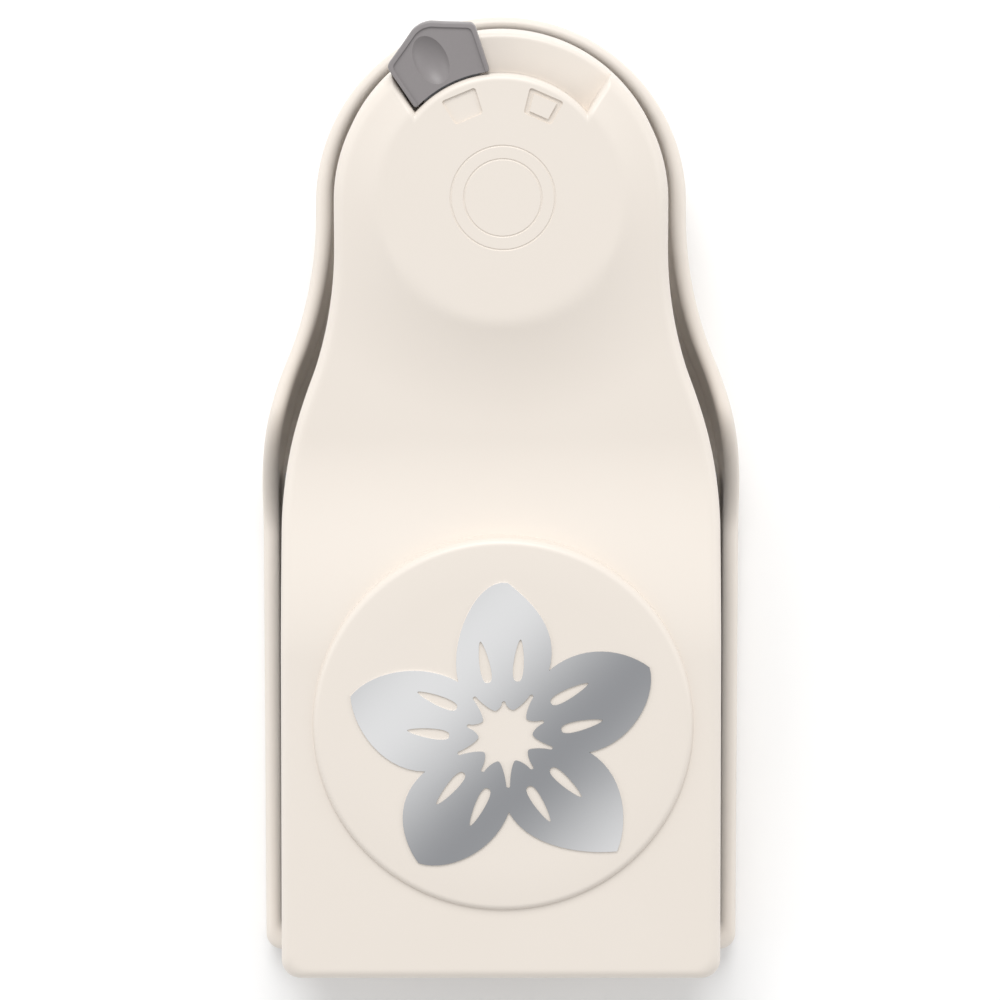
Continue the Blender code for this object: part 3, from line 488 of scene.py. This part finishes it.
def skirt_drop(x, y):
    """How far the surface has fallen below the pad's plateau."""
    beyond = math.hypot(x, y - PAD_Y) - PAD_FLAT
    if beyond < CREASE:
        beyond = max(0, beyond + CREASE) ** 2 / (4 * CREASE)
    beyond = min(beyond, SKIRT_REACH)
    return SKIRT_SLOPE * (beyond - beyond ** 2 / (2 * SKIRT_REACH))


def open_top(x, y):
    """The surface without its edge and without the step."""
    rise = (HEAD_Z - SADDLE_Z) * ease((SADDLE_Y - y) / (SADDLE_Y - HEAD_END))
    return PAD_Z - skirt_drop(x, y) + rise


def into_track(x, y):
    """How far a point stands past the step's wall, negative on the pad and far in front of it."""
    if y <= COVER.pole_y - NEAR_TRACK:
        return -NEAR_TRACK
    off = Vector((abs(x), y - COVER.pole_y))
    beside = (off - WALL_FOOT).cross(WALL_ALONG)
    return min(off.length - TRACK, -beside)


def edge_fall(depth, radius):
    """The fall of a rounded edge at a depth in from it."""
    if depth >= radius:
        return 0
    return radius - math.sqrt(radius ** 2 - (radius - max(0, depth)) ** 2)


def outside_height(x, y, inset):
    past = into_track(x, y)
    if past > ON_LEDGE:
        return LEDGE_Z - edge_fall(inset, LEDGE_ROUND)
    step = edge_fall(-past, STEP_ROUND)
    return min(open_top(x, y) - edge_fall(inset, EDGE_ROUND), open_top(x, y) - step)


def inside_height(x, y, inset):
    ceiling = open_top(x, y) - COVER_WALL - edge_fall(inset, INNER_ROUND)
    return min(ceiling, LEDGE_Z - COVER_WALL) if into_track(x, y) > -COVER_WALL else ceiling


print("heights: head", round(open_top(0, HEAD_END), 2), "saddle", round(open_top(0, SADDLE_Y), 2))

# %% [markdown]
# Two such grids, one outside and one inside, are joined round the bottom edge, which gives the
# moulding its wall. Near the track the grid's lines are bent, so that one of them runs exactly along
# the wall at each end of it.

# %% The cover's two skins
WALL_LINES = (-1.4, -0.6, -0.25, -0.1, 0, 0.12, 0.3, 0.5, 0.75, 1.0, 1.2, 1.6)
INNER_LEVELS = [1.6 * i for i in range(11)] + [17.2, 17.6, 17.7, 17.85, 18.05, 18.25, 18.45, 18.6,
                                               18.72, 18.8, 18.86, 19.2, 19.6]
OUTER_STEPS, MID_TRACK = 9, 22.0
BEND_SPREAD, BEND_POWER = 22.0, 1.5
EDGE_LEVELS = (2.2, 1.9, 1.6, 1.3, 1.0, 0.75, 0.5, 0.3, 0.12, 0.03, 0)


def wall_angle(radius):
    """The angle, seen from the track's centre, at which the end wall reaches a radius."""
    along = WALL_FOOT.dot(WALL_ALONG)
    reach = -along + math.sqrt(along ** 2 + radius ** 2 - TRACK ** 2)
    point = WALL_FOOT + reach * WALL_ALONG
    return math.degrees(math.atan2(point.x, point.y))


def cover_skin(shrink, height):
    """One skin of the cover, shrunk inwards, with its sides drawn down to the bottom edge."""
    extra = [TRACK_ANGLE + math.degrees(mm / MID_TRACK) for mm in WALL_LINES]
    stations = mirrored(COVER.stations(extra))
    levels = len(INNER_LEVELS) + OUTER_STEPS + len(EDGE_LEVELS)

    def place(column, row):
        edge, centre, straight, angle = stations[column]
        reach = (edge - centre).length
        lean = reach / straight
        last = INNER_LEVELS[-1]
        if row < len(INNER_LEVELS):
            out = INNER_LEVELS[row]
        elif row < len(INNER_LEVELS) + OUTER_STEPS:
            share = (row - len(INNER_LEVELS) + 1) / (OUTER_STEPS + 1)
            out = last + (reach - (EDGE_LEVELS[0] + shrink) * lean - last) * share
        else:
            out = reach - (EDGE_LEVELS[row - len(INNER_LEVELS) - OUTER_STEPS] + shrink) * lean
        if angle is None:
            point = centre + (edge - centre) * out / reach
        else:
            bend = max(0, 1 - abs(abs(angle) - TRACK_ANGLE) / BEND_SPREAD) ** BEND_POWER
            shift = bend * (wall_angle(max(out, TRACK)) - TRACK_ANGLE)
            turn = math.radians(abs(angle) + shift)
            full = COVER.arch_reach(math.degrees(turn))
            out = min(out, last) if row < len(INNER_LEVELS) else out + full - reach
            side = -1 if angle < 0 else 1
            point = centre + out * Vector((side * math.sin(turn), math.cos(turn)))
        if angle is None:
            inset = (reach - out) / lean - shrink
        else:
            inset = COVER.arch - math.hypot(point.x, point.y - COVER.arch_y) - shrink
        return Vector((point.x, point.y, height(point.x, point.y, max(0, inset))))

    bm = sheet(len(stations), levels, place)
    bmesh.ops.remove_doubles(bm, verts=bm.verts, dist=0.002)
    rim = [e for e in bm.edges if e.is_boundary]
    drawn = bmesh.ops.extrude_edge_only(bm, edges=rim)["geom"]
    for vert in (v for v in drawn if isinstance(v, bmesh.types.BMVert)):
        vert.co.z = COVER_LOW
    return bm


def cover_shell():
    outside = cover_skin(0, outside_height)
    inside = cover_skin(COVER_WALL, inside_height)
    bmesh.ops.reverse_faces(inside, faces=inside.faces)
    mesh = bpy.data.meshes.new("inside")
    inside.to_mesh(mesh)
    outside.from_mesh(mesh)
    bmesh.ops.bridge_loops(outside, edges=[e for e in outside.edges if e.is_boundary])
    bmesh.ops.recalc_face_normals(outside, faces=outside.faces)
    return outside


print("rows in a skin:", len(INNER_LEVELS) + OUTER_STEPS + len(EDGE_LEVELS))

# %% [markdown]
# What is cut out of the cover: a slit for the knob's arm, a filled and an open mark beside the
# track, and two plain round grooves on the pad. Each tool is an outline given thickness, or a ring.

# %% Tools for the cover
def flat_prism(outline, low, high):
    """An outline of points given thickness, standing between two heights."""
    bm = bmesh.new()
    verts = [bm.verts.new((x, y, low)) for x, y in outline]
    face = bm.faces.new(verts)
    top = bmesh.ops.extrude_face_region(bm, geom=[face])["geom"]
    bmesh.ops.translate(bm, verts=[v for v in top if isinstance(v, bmesh.types.BMVert)],
                        vec=(0, 0, high - low))
    bmesh.ops.recalc_face_normals(bm, faces=bm.faces)
    return bm


def arc(radius, start, end, steps, y=0.0):
    """Points along a circle about the centre line, between two angles from the right."""
    turns = [math.radians(start + (end - start) * i / steps) for i in range(steps + 1)]
    return [(radius * math.cos(t), y + radius * math.sin(t)) for t in turns]


SLIT_ANGLE, SLIT_LOW, SLIT_HIGH = 44.7, 24.15, 26.6
SLIT_OUT, SLIT_IN, BACK = TRACK + 0.7, TRACK - 3, 90
slit = flat_prism(arc(SLIT_OUT, BACK + SLIT_ANGLE, BACK - SLIT_ANGLE, 40, COVER.pole_y)
                  + arc(SLIT_IN, BACK - SLIT_ANGLE, BACK + SLIT_ANGLE, 40, COVER.pole_y),
                  SLIT_LOW, SLIT_HIGH)
FILLED_MARK = [(-9.83, 68.0), (-4.26, 70.3), (-2.95, 66.05), (-7.47, 64.1)]
OPEN_MARK = [(4.75, 70.3), (10.3, 67.9), (8.2, 64.1), (3.7, 66.05)]
MARK_DEPTH, MARK_WIDTH = 0.4, 0.65
RING_CENTRE, RING_RADII, RING_CUT, RING_LIFT = Vector((0.3, 52.1)), (6.4, 8.6), 0.2, 0.04


def shrunk(outline, share):
    """An outline drawn in towards its middle."""
    middle = sum((Vector(p) for p in outline), Vector((0, 0))) / len(outline)
    return [middle + (Vector(p) - middle) * share for p in outline]


def mark(outline):
    """A tool that sinks an outline into the pad, with rounded corners."""
    return rounded(flat_prism(outline, PAD_Z - MARK_DEPTH, PAD_Z + 2), 0.5)


def ring_cutter(radius):
    """A thin torus that carves a round groove."""
    bm = bmesh.new()
    place = Matrix.Translation((RING_CENTRE.x + radius, RING_CENTRE.y, PAD_Z + RING_LIFT))
    bmesh.ops.create_circle(bm, segments=12, radius=RING_CUT,
                            matrix=place @ Matrix.Rotation(math.pi / 2, 4, "X"))
    bmesh.ops.spin(bm, geom=bm.verts[:] + bm.edges[:], cent=(*RING_CENTRE, PAD_Z), axis=(0, 0, 1),
                   angle=2 * math.pi, steps=96, use_merge=True)
    bmesh.ops.remove_doubles(bm, verts=bm.verts, dist=0.001)
    bmesh.ops.recalc_face_normals(bm, faces=bm.faces)
    return bm


open_mark = carve(mark(OPEN_MARK), flat_prism(shrunk(OPEN_MARK, 1 - MARK_WIDTH / 2), 20, 40))
print("slit", 2 * SLIT_ANGLE, "degrees, grooves at", RING_RADII)

# %% [markdown]
# Inside, hollow posts hang from the roof for the frame's screws and for the knob's pivot. They are
# tubes with their tops sunk in the roof, added to the moulding once it has been cut.

# %% The cover
COVER_BOSSES = ((-14, -65.5, 24.4, 30.8, 28.8), (14, -65.5, 24.4, 30.8, 28.8),
                (-19.4, 27, 22.6, 25.9, 25.4), (19.4, 27, 22.6, 25.9, 25.4))


def boss(x, y, low, top, deep, radius=3.2, bore=1.3):
    """A tube from a low end up into the roof, bored up to a height."""
    return carve(drill(radius, low, top, x, y), drill(bore, low - 1, deep, x, y))


grooves = [ring_cutter(radius) for radius in RING_RADII]
cover = carve(cover_shell(), slit, mark(FILLED_MARK), open_mark, *grooves)
posts = [boss(*where) for where in COVER_BOSSES]
posts.append(boss(0, COVER.pole_y, 24.2, PAD_Z - 1, 27, radius=3, bore=1.7))
for post in posts:
    mesh = bpy.data.meshes.new("post")
    post.to_mesh(mesh)
    post.free()
    cover.from_mesh(mesh)
lid = piece("lever_lid", cover, ON_LEVER, "lever", "cream_plastic", "lever_cover")
lid.data.materials.append(cream)

# %% [markdown]
# A round disc stands on the head and carries the flower. It is one profile spun round, with its
# rim rounded, and its underside follows the head so that no gap opens at the back of the disc.

# %% The disc
DISC_X, DISC_Y, DISC_Z = 0.35, -36.3, 32.6
DISC_RADIUS, DISC_ROUND, DISC_SINK, BURIED = 32.0, 1.2, 0.8, 20.0


def spun(profile, steps, x=0.0, y=0.0):
    """A profile of (radius, height), spun round an upright axis."""
    bm = bmesh.new()
    verts = [bm.verts.new((x + r, y, z)) for r, z in profile]
    edges = [bm.edges.new(pair) for pair in zip(verts, verts[1:])]
    bmesh.ops.spin(bm, geom=verts + edges, cent=(x, y, 0), axis=(0, 0, 1),
                   angle=2 * math.pi, steps=steps, use_merge=True)
    bmesh.ops.remove_doubles(bm, verts=bm.verts, dist=0.001)
    bmesh.ops.recalc_face_normals(bm, faces=bm.faces)
    return bm


rim = [(DISC_RADIUS - DISC_ROUND * (1 - math.sin(a)), DISC_Z - DISC_ROUND * (1 - math.cos(a)))
       for a in [math.radians(15 * i) for i in range(7)]]
profile = [(0, DISC_Z), (12, DISC_Z), (24, DISC_Z), *rim]
profile += [(radius, BURIED) for radius in (DISC_RADIUS, 28, 24, 18, 12, 6, 0)]
disc = spun(profile, 144, DISC_X, DISC_Y)
for vert in disc.verts:
    if vert.co.z < BURIED + 1:
        vert.co.z = open_top(vert.co.x, vert.co.y) - DISC_SINK
disc = piece("lid_disc", disc, ON_LEVER, "lever", "cream_plastic")
disc.data.materials.append(cream)

# %% [markdown]
# The flower has five leaning petals, each of two curves that meet at a point. Ten teardrops and a
# ten-pointed star are left out of the foil. All of these are outlines first: a few driving angles and
# radii for each petal, with curves between them.

# %% The flower's outlines
FLOWER = Vector((0.8, -37.65))
PETALS = ((0.7, 26.1, 100, 52), (63.7, 26.8, 63, 79), (136.0, 27.0, 66, 52),
          (214.5, 26.0, 75, 70), (285.0, 26.9, 72, 67))
NOTCHES = ((-40.2, 12.3), (32.5, 13.4), (100.1, 14.2), (177.7, 12.7), (246.9, 14.7))
AXES = (-3, 69, 141, 213, 285)
SPREAD, NOTCH_PULL, TIP_PULL = 15, 7.3, 5.2
STAR_REACH = (5.9, 8.3, 6.9, 8.2, 7.3, 8.9, 7.3, 8.6, 6.7, 8.5)
STAR_TIP, STAR_VALLEY, STAR_PULL, STAR_HALF = 0.34, 4.55, 0.35, 18
DROP_INNER, DROP_OUTER, DROP_WIDTH, DROP_STEPS = (15, 9.4), (11.8, 16.5), 0.9, 18


def around(angle, radius):
    """A place in the flower's plane, by its clockwise angle from the back."""
    turn = math.radians(angle)
    return Vector((radius * math.sin(turn), radius * math.cos(turn)))


def curve(p0, p1, p2, p3, steps=14):
    """Points along a curve with two handles, without its last point."""
    made = []
    for i in range(steps):
        t = i / steps
        s = 1 - t
        made.append(p0 * s ** 3 + p1 * 3 * s * s * t + p2 * 3 * s * t * t + p3 * t ** 3)
    return made


def petals():
    points = []
    for i, (tip_angle, tip_radius, left, right) in enumerate(PETALS):
        first, last = around(*NOTCHES[i]), around(*NOTCHES[(i + 1) % 5])
        tip = around(tip_angle, tip_radius)
        points += curve(first, first + around(tip_angle - SPREAD, NOTCH_PULL),
                        tip + around(tip_angle + 180 + left, TIP_PULL), tip)
        points += curve(tip, tip + around(tip_angle + 180 - right, TIP_PULL),
                        last + around(tip_angle + SPREAD, NOTCH_PULL), last)
    return points


def teardrop(axis, side):
    """A drop beside a petal's axis, fullest near its inner end."""
    inner = around(axis + side * DROP_INNER[0], DROP_INNER[1])
    outer = around(axis + side * DROP_OUTER[0], DROP_OUTER[1])
    along = (outer - inner).normalized()
    across = Vector((along.y, -along.x))
    shares = [(1 - math.cos(math.pi * i / DROP_STEPS)) / 2 for i in range(DROP_STEPS + 1)]
    widths = [DROP_WIDTH * max(0, math.sin(math.pi * share ** 0.6)) ** 0.55 for share in shares]
    middle = [inner.lerp(outer, share) for share in shares]
    right = [m + across * w for m, w in zip(middle, widths)]
    left = [m - across * w for m, w in zip(middle, widths)]
    return right + left[-2:0:-1]


def star():
    """Ten slender points with rounded tips, rising out of rounded valleys."""
    points = []
    for i, reach in enumerate(STAR_REACH):
        angle = AXES[0] + 2 * STAR_HALF * i
        ahead, side = around(angle, 1), around(angle + 90, 1)
        stem = ahead * (reach - STAR_TIP)
        pull = (reach - STAR_VALLEY) * STAR_PULL
        for hand in (-1, 1):
            valley = around(angle + hand * STAR_HALF, STAR_VALLEY)
            lean = around(angle + hand * STAR_HALF + 90, 1) * -hand
            foot = stem + side * hand * STAR_TIP
            half = curve(valley, valley + lean * 0.5, foot - ahead * pull, foot, 8) + [foot]
            if hand < 0:
                points += half
                points += [stem + ahead * STAR_TIP * math.sin(t) - side * STAR_TIP * math.cos(t)
                           for t in [math.radians(30 * i) for i in range(1, 6)]]
            else:
                points += half[:0:-1]
    return points


print("petals", len(petals()), "points, star", len(star()), "points")

# %% [markdown]
# The foil is a flat, filled drawing with a little thickness. A curve object fills an outline with
# holes in it by itself, so the drawing is made as one and then turned into a mesh.

# %% The foil flower
FOIL_PLACE, FOIL_STRETCH = FLOWER + Vector((0, -0.45)), 1.012
INNER_LIFT, FOIL_THICK = Vector((-0.05, 0.3)), 0.3


def foil_flower(low, high):
    drawing = bpy.data.curves.new("flower", "CURVE")
    drawing.dimensions, drawing.fill_mode, drawing.extrude = "2D", "BOTH", (high - low) / 2
    outlines = [star()] + [teardrop(axis, side) for axis in AXES for side in (-1, 1)]
    outlines = [petals()] + [[point + INNER_LIFT for point in outline] for outline in outlines]
    for outline in outlines:
        spline = drawing.splines.new("POLY")
        spline.points.add(len(outline) - 1)
        for point, place in zip(spline.points, outline):
            point.co = (*(Vector((place.x, place.y * FOIL_STRETCH)) + FOIL_PLACE), 0, 1)
        spline.use_cyclic_u = True
    drawn = bpy.data.objects.new("flower", drawing)
    bpy.context.scene.collection.objects.link(drawn)
    mesh = bpy.data.meshes.new_from_object(
        drawn.evaluated_get(bpy.context.evaluated_depsgraph_get()))
    bpy.data.objects.remove(drawn)
    bm = bmesh.new()
    bm.from_mesh(mesh)
    bmesh.ops.remove_doubles(bm, verts=bm.verts, dist=0.001)
    bmesh.ops.translate(bm, verts=bm.verts, vec=(0, 0, (high + low) / 2))
    return bm


badge = piece("foil_flower", foil_flower(DISC_Z, DISC_Z + FOIL_THICK), ON_LEVER, "lever",
              "silver_foil", "flower_badge")
badge.data.materials.append(foil)

# %% [markdown]
# The knob is a pointed thumb-piece. A flat recess leaves a thin lip along its outer edges, a
# stretched ball scoops the hollow for the nail, and a socket underneath takes its arm.

# %% The knob
KNOB_TURN = math.radians(26.3)
ON_KNOB = ON_LEVER @ Matrix.Translation((0, COVER.pole_y, 0)) @ Matrix.Rotation(KNOB_TURN, 4, "Z")
KNOB_LOW, KNOB_HIGH, KNOB_RECESS = 24.4, 28.6, 0.3
KNOB_INNER, KNOB_HALF_ANGLE, UPRIGHT_FOLD = 19.2, 20.8, math.radians(18)
INNER_STEPS = 24    # each step stays longer than the corner's rounding, or the rounding folds over
SCOOP_PLACE, SCOOP_SIZE = (-1.0, 23.9, 29.7), (3.2, 4.9, 2.7)
TIP = [(7.9, 25.4), (7.8, 26.3), (4.0, 28.3), (1.5, 29.7), (0, 29.95)]
RECESS_TIP = [(6.05, 17.0), (7.15, 25.0), (7.0, 25.85), (3.65, 27.6), (1.3, 28.9), (0, 29.15)]


def both_sides(right):
    """A right-hand outline and its mirror image."""
    return right + [(-x, y) for x, y in reversed(right) if x > 0]


inner_side = arc(KNOB_INNER, BACK + KNOB_HALF_ANGLE, BACK - KNOB_HALF_ANGLE, INNER_STEPS)
knob = flat_prism(inner_side + both_sides(TIP), KNOB_LOW, KNOB_HIGH)
corners = [e for e in knob.edges if e.calc_face_angle(0) > UPRIGHT_FOLD
           and abs(e.verts[0].co.z - e.verts[1].co.z) > 1]
bmesh.ops.bevel(knob, geom=corners, offset=0.5, segments=4, profile=0.5, affect="EDGES", material=-1)
crown = [e for e in knob.edges if all(v.co.z > KNOB_HIGH - 0.01 for v in e.verts)]
bmesh.ops.bevel(knob, geom=crown, offset=0.25, segments=3, profile=0.5, affect="EDGES", material=-1)
recess = rounded(flat_prism(both_sides(RECESS_TIP), KNOB_HIGH - KNOB_RECESS, 32), 0.4)
scoop = bmesh.new()
bmesh.ops.create_uvsphere(scoop, u_segments=48, v_segments=24, radius=1)
bmesh.ops.transform(scoop, verts=scoop.verts,
                    matrix=Matrix.Translation(SCOOP_PLACE) @ Matrix.Diagonal((*SCOOP_SIZE, 1)))
socket = block((-5.3, 5.3), (10, 25.2), (20, 26.5))
knob = piece("thumb_knob", carve(knob, recess, scoop, socket), ON_KNOB, "selector", "grey_plastic",
             "selector_knob")
knob.data.materials.append(grey)

# %% [markdown]
# The springs are round wire wound on a screw line. A ring of wire section is spun while it climbs.
# Each spring shortens with the joint that presses it.
# Each spring is wound to the length it has with the lever standing open.

# %% The springs
STROKE = (FLOWER.y - HINGE.y) * math.sin(OPEN)
RETAINER_ANGLES = (32.5, 177.7, 246.9)


def spring(name, spot, radius, wire, low, high, turns, body, node):
    """Wire wound between two heights."""
    bm = bmesh.new()
    x, y = spot
    lift = high - low - 2 * wire
    steps = round(turns * 24)
    start = Matrix.Translation((x + radius, y, low + wire)) @ Matrix.Rotation(math.pi / 2, 4, "X")
    bmesh.ops.create_circle(bm, segments=10, radius=wire, matrix=start)
    bmesh.ops.spin(bm, geom=bm.verts[:] + bm.edges[:], cent=(x, y, 0), axis=(0, 0, 1),
                   dvec=(0, 0, lift / steps), angle=2 * math.pi * turns, steps=steps)
    bmesh.ops.holes_fill(bm, edges=[e for e in bm.edges if e.is_boundary], sides=0)
    bmesh.ops.recalc_face_normals(bm, faces=bm.faces)
    made = piece(name, bm, ON_BASE, body, "spring_steel", node)
    made.data.materials.append(METALS["spring_steel"])
    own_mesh(made)


for i, angle in enumerate((-40.2, 32.5, 100.1, 246.9)):
    spring(f"lift_spring_{i + 1}", FLOWER + around(angle, 23.5), radius=2.3, wire=0.35,
           low=11.45, high=14.65 + STROKE, turns=4, body="base",
           node=f"return_spring_{i + 1}")
for i, angle in enumerate(RETAINER_ANGLES):
    spot = FLOWER + around(angle, 16)
    spring(f"matrix_spring_{i + 1}", spot, radius=1.5, wire=0.2, low=2.55, high=5.25, turns=2.5,
           body="base", node=f"die_spring_{i + 1}")
    spring(f"plate_spring_{i + 1}", spot, radius=1.5, wire=0.25, low=15.95 + STROKE,
           high=19.05 + STROKE, turns=2.5, body="punch",
           node=f"carrier_spring_{i + 1}")

# %% [markdown]
# The screws are turned like the real ones: a shank, a head with a softened rim, and a cross for
# the driver, carved with two crossed blocks. All of them are driven from below.

# %% The screws
TIP_BEVEL, HEAD_EDGE, HEAD_ROUND, HEAD_DIP = 0.3, 0.15, 0.35, 0.08
CROSS_LONG, CROSS_WIDE, CROSS_DEEP = 0.58, 0.12, 0.6


def screw(name, spot, tip, shank, under, head, low, place, body, node):
    """A screw from its head's low face, up past the face under the head, to its tip."""
    x, y = spot
    profile = [(0, tip), (shank - TIP_BEVEL, tip), (shank, tip - TIP_BEVEL), (shank, under),
               (head - HEAD_EDGE, under), (head, under - HEAD_EDGE), (head, low + HEAD_ROUND),
               (head - TIP_BEVEL, low + HEAD_DIP), (0, low)]
    long, wide, deep = head * CROSS_LONG, head * CROSS_WIDE, (under - low) * CROSS_DEEP
    cross = [block((x - a, x + a), (y - b, y + b), (low - 1, low + deep))
             for a, b in ((long, wide), (wide, long))]
    made = piece(name, carve(spun(profile, 40, x, y), *cross), place, body, "fastener_steel", node)
    made.data.materials.append(METALS["fastener_steel"])


for i, spot in enumerate(BASE_SCREWS):
    screw(f"foot_screw_{i + 1}", spot, tip=7, shank=1.4, under=1.1, head=2.8, low=0.3,
          place=ON_BASE, body="base", node=f"base_screw_{i + 1}")
for i, angle in enumerate(RETAINER_ANGLES):
    screw(f"plate_screw_{i + 1}", FLOWER + around(angle, 24), tip=7, shank=1.0, under=0.85,
          head=2.2, low=0.3, place=ON_BASE, body="base", node=f"retainer_screw_{i + 1}")
for i, (x, y, _, _, bore_top) in enumerate(COVER_BOSSES):
    under = 20.5 if y < 0 else 20.4
    screw(f"lid_screw_{i + 1}", (x, y), tip=bore_top - 0.5, shank=1.0, under=under, head=2.4,
          low=under - 1.3, place=ON_LEVER, body="lever", node=f"cover_screw_{i + 1}")
screw("arm_screw", (0, COVER.pole_y), tip=26.6, shank=1.4, under=22.9, head=2.8, low=21.3,
      place=ON_LEVER, body="lever", node="selector_screw")

# %% [markdown]
# A pale paper floor and an even sky of one strength. The view transform is the plain one, so that
# the cream stays cream.

# %% Floor and sky
FLOOR_SIZE, FLOOR_BELOW, SKY_STRENGTH = 3, 0.0002, 0.56
floor = bmesh.new()
bmesh.ops.create_grid(floor, x_segments=1, y_segments=1, size=FLOOR_SIZE)
mesh = bpy.data.meshes.new("floor")
floor.to_mesh(mesh)
floor.free()
ground = bpy.data.objects.new("floor", mesh)
ground.location.z = -FLOOR_BELOW
bpy.context.scene.collection.objects.link(ground)
paper = Look("floor_paper")
ground.data.materials.append(
    paper.give(paper.blend(paper.noise(3), (0.95, 0.95, 0.95), (0.97, 0.97, 0.97)),
               paper.noise(3) * 0.1 + 0.8))

world = bpy.data.worlds.new("even_sky")
world.use_nodes = True
sky = world.node_tree.nodes["Background"].inputs
sky["Color"].default_value = (1, 1, 1, 1)
sky["Strength"].default_value = SKY_STRENGTH
bpy.context.scene.world = world
bpy.context.scene.view_settings.view_transform = "Standard"
print("sky strength", SKY_STRENGTH)

# %% [markdown]
# One large soft lamp stands behind the punch: slopes that face the back are a little brighter, and
# those that face the front a little darker, with hardly any shadow. A weak lamp fills each side.

# %% Lamps
LAMP_TARGET = Vector((0, 0, 0.02))


def lamp(name, place, size, power):
    """A round area lamp that looks at the punch."""
    data = bpy.data.lights.new(name, "AREA")
    data.shape, data.size, data.energy = "DISK", size, power
    made = bpy.data.objects.new(name, data)
    made.location = place
    made.rotation_euler = (LAMP_TARGET - Vector(place)).to_track_quat("-Z", "Y").to_euler()
    bpy.context.scene.collection.objects.link(made)
    print(name, power, "W")


lamp("soft_lamp", (-0.3, 3.0, 3.6), size=3.3, power=145.0)
for side in (-1, 1):
    lamp("side_fill", (3.2 * side, 0.2, 1.6), size=2.4, power=20.0)

# %% [markdown]
# The camera looks straight down from a little over arm's length, with a long lens.

# %% Camera
view = bpy.data.cameras.new("view")
view.sensor_width, view.lens, view.clip_start = 36, 142.1, 0.01
camera = bpy.data.objects.new("view", view)
camera.location = (-0.00017, -0.0008, 0.700)
bpy.context.scene.collection.objects.link(camera)
bpy.context.scene.camera = camera
print("lens", view.lens)
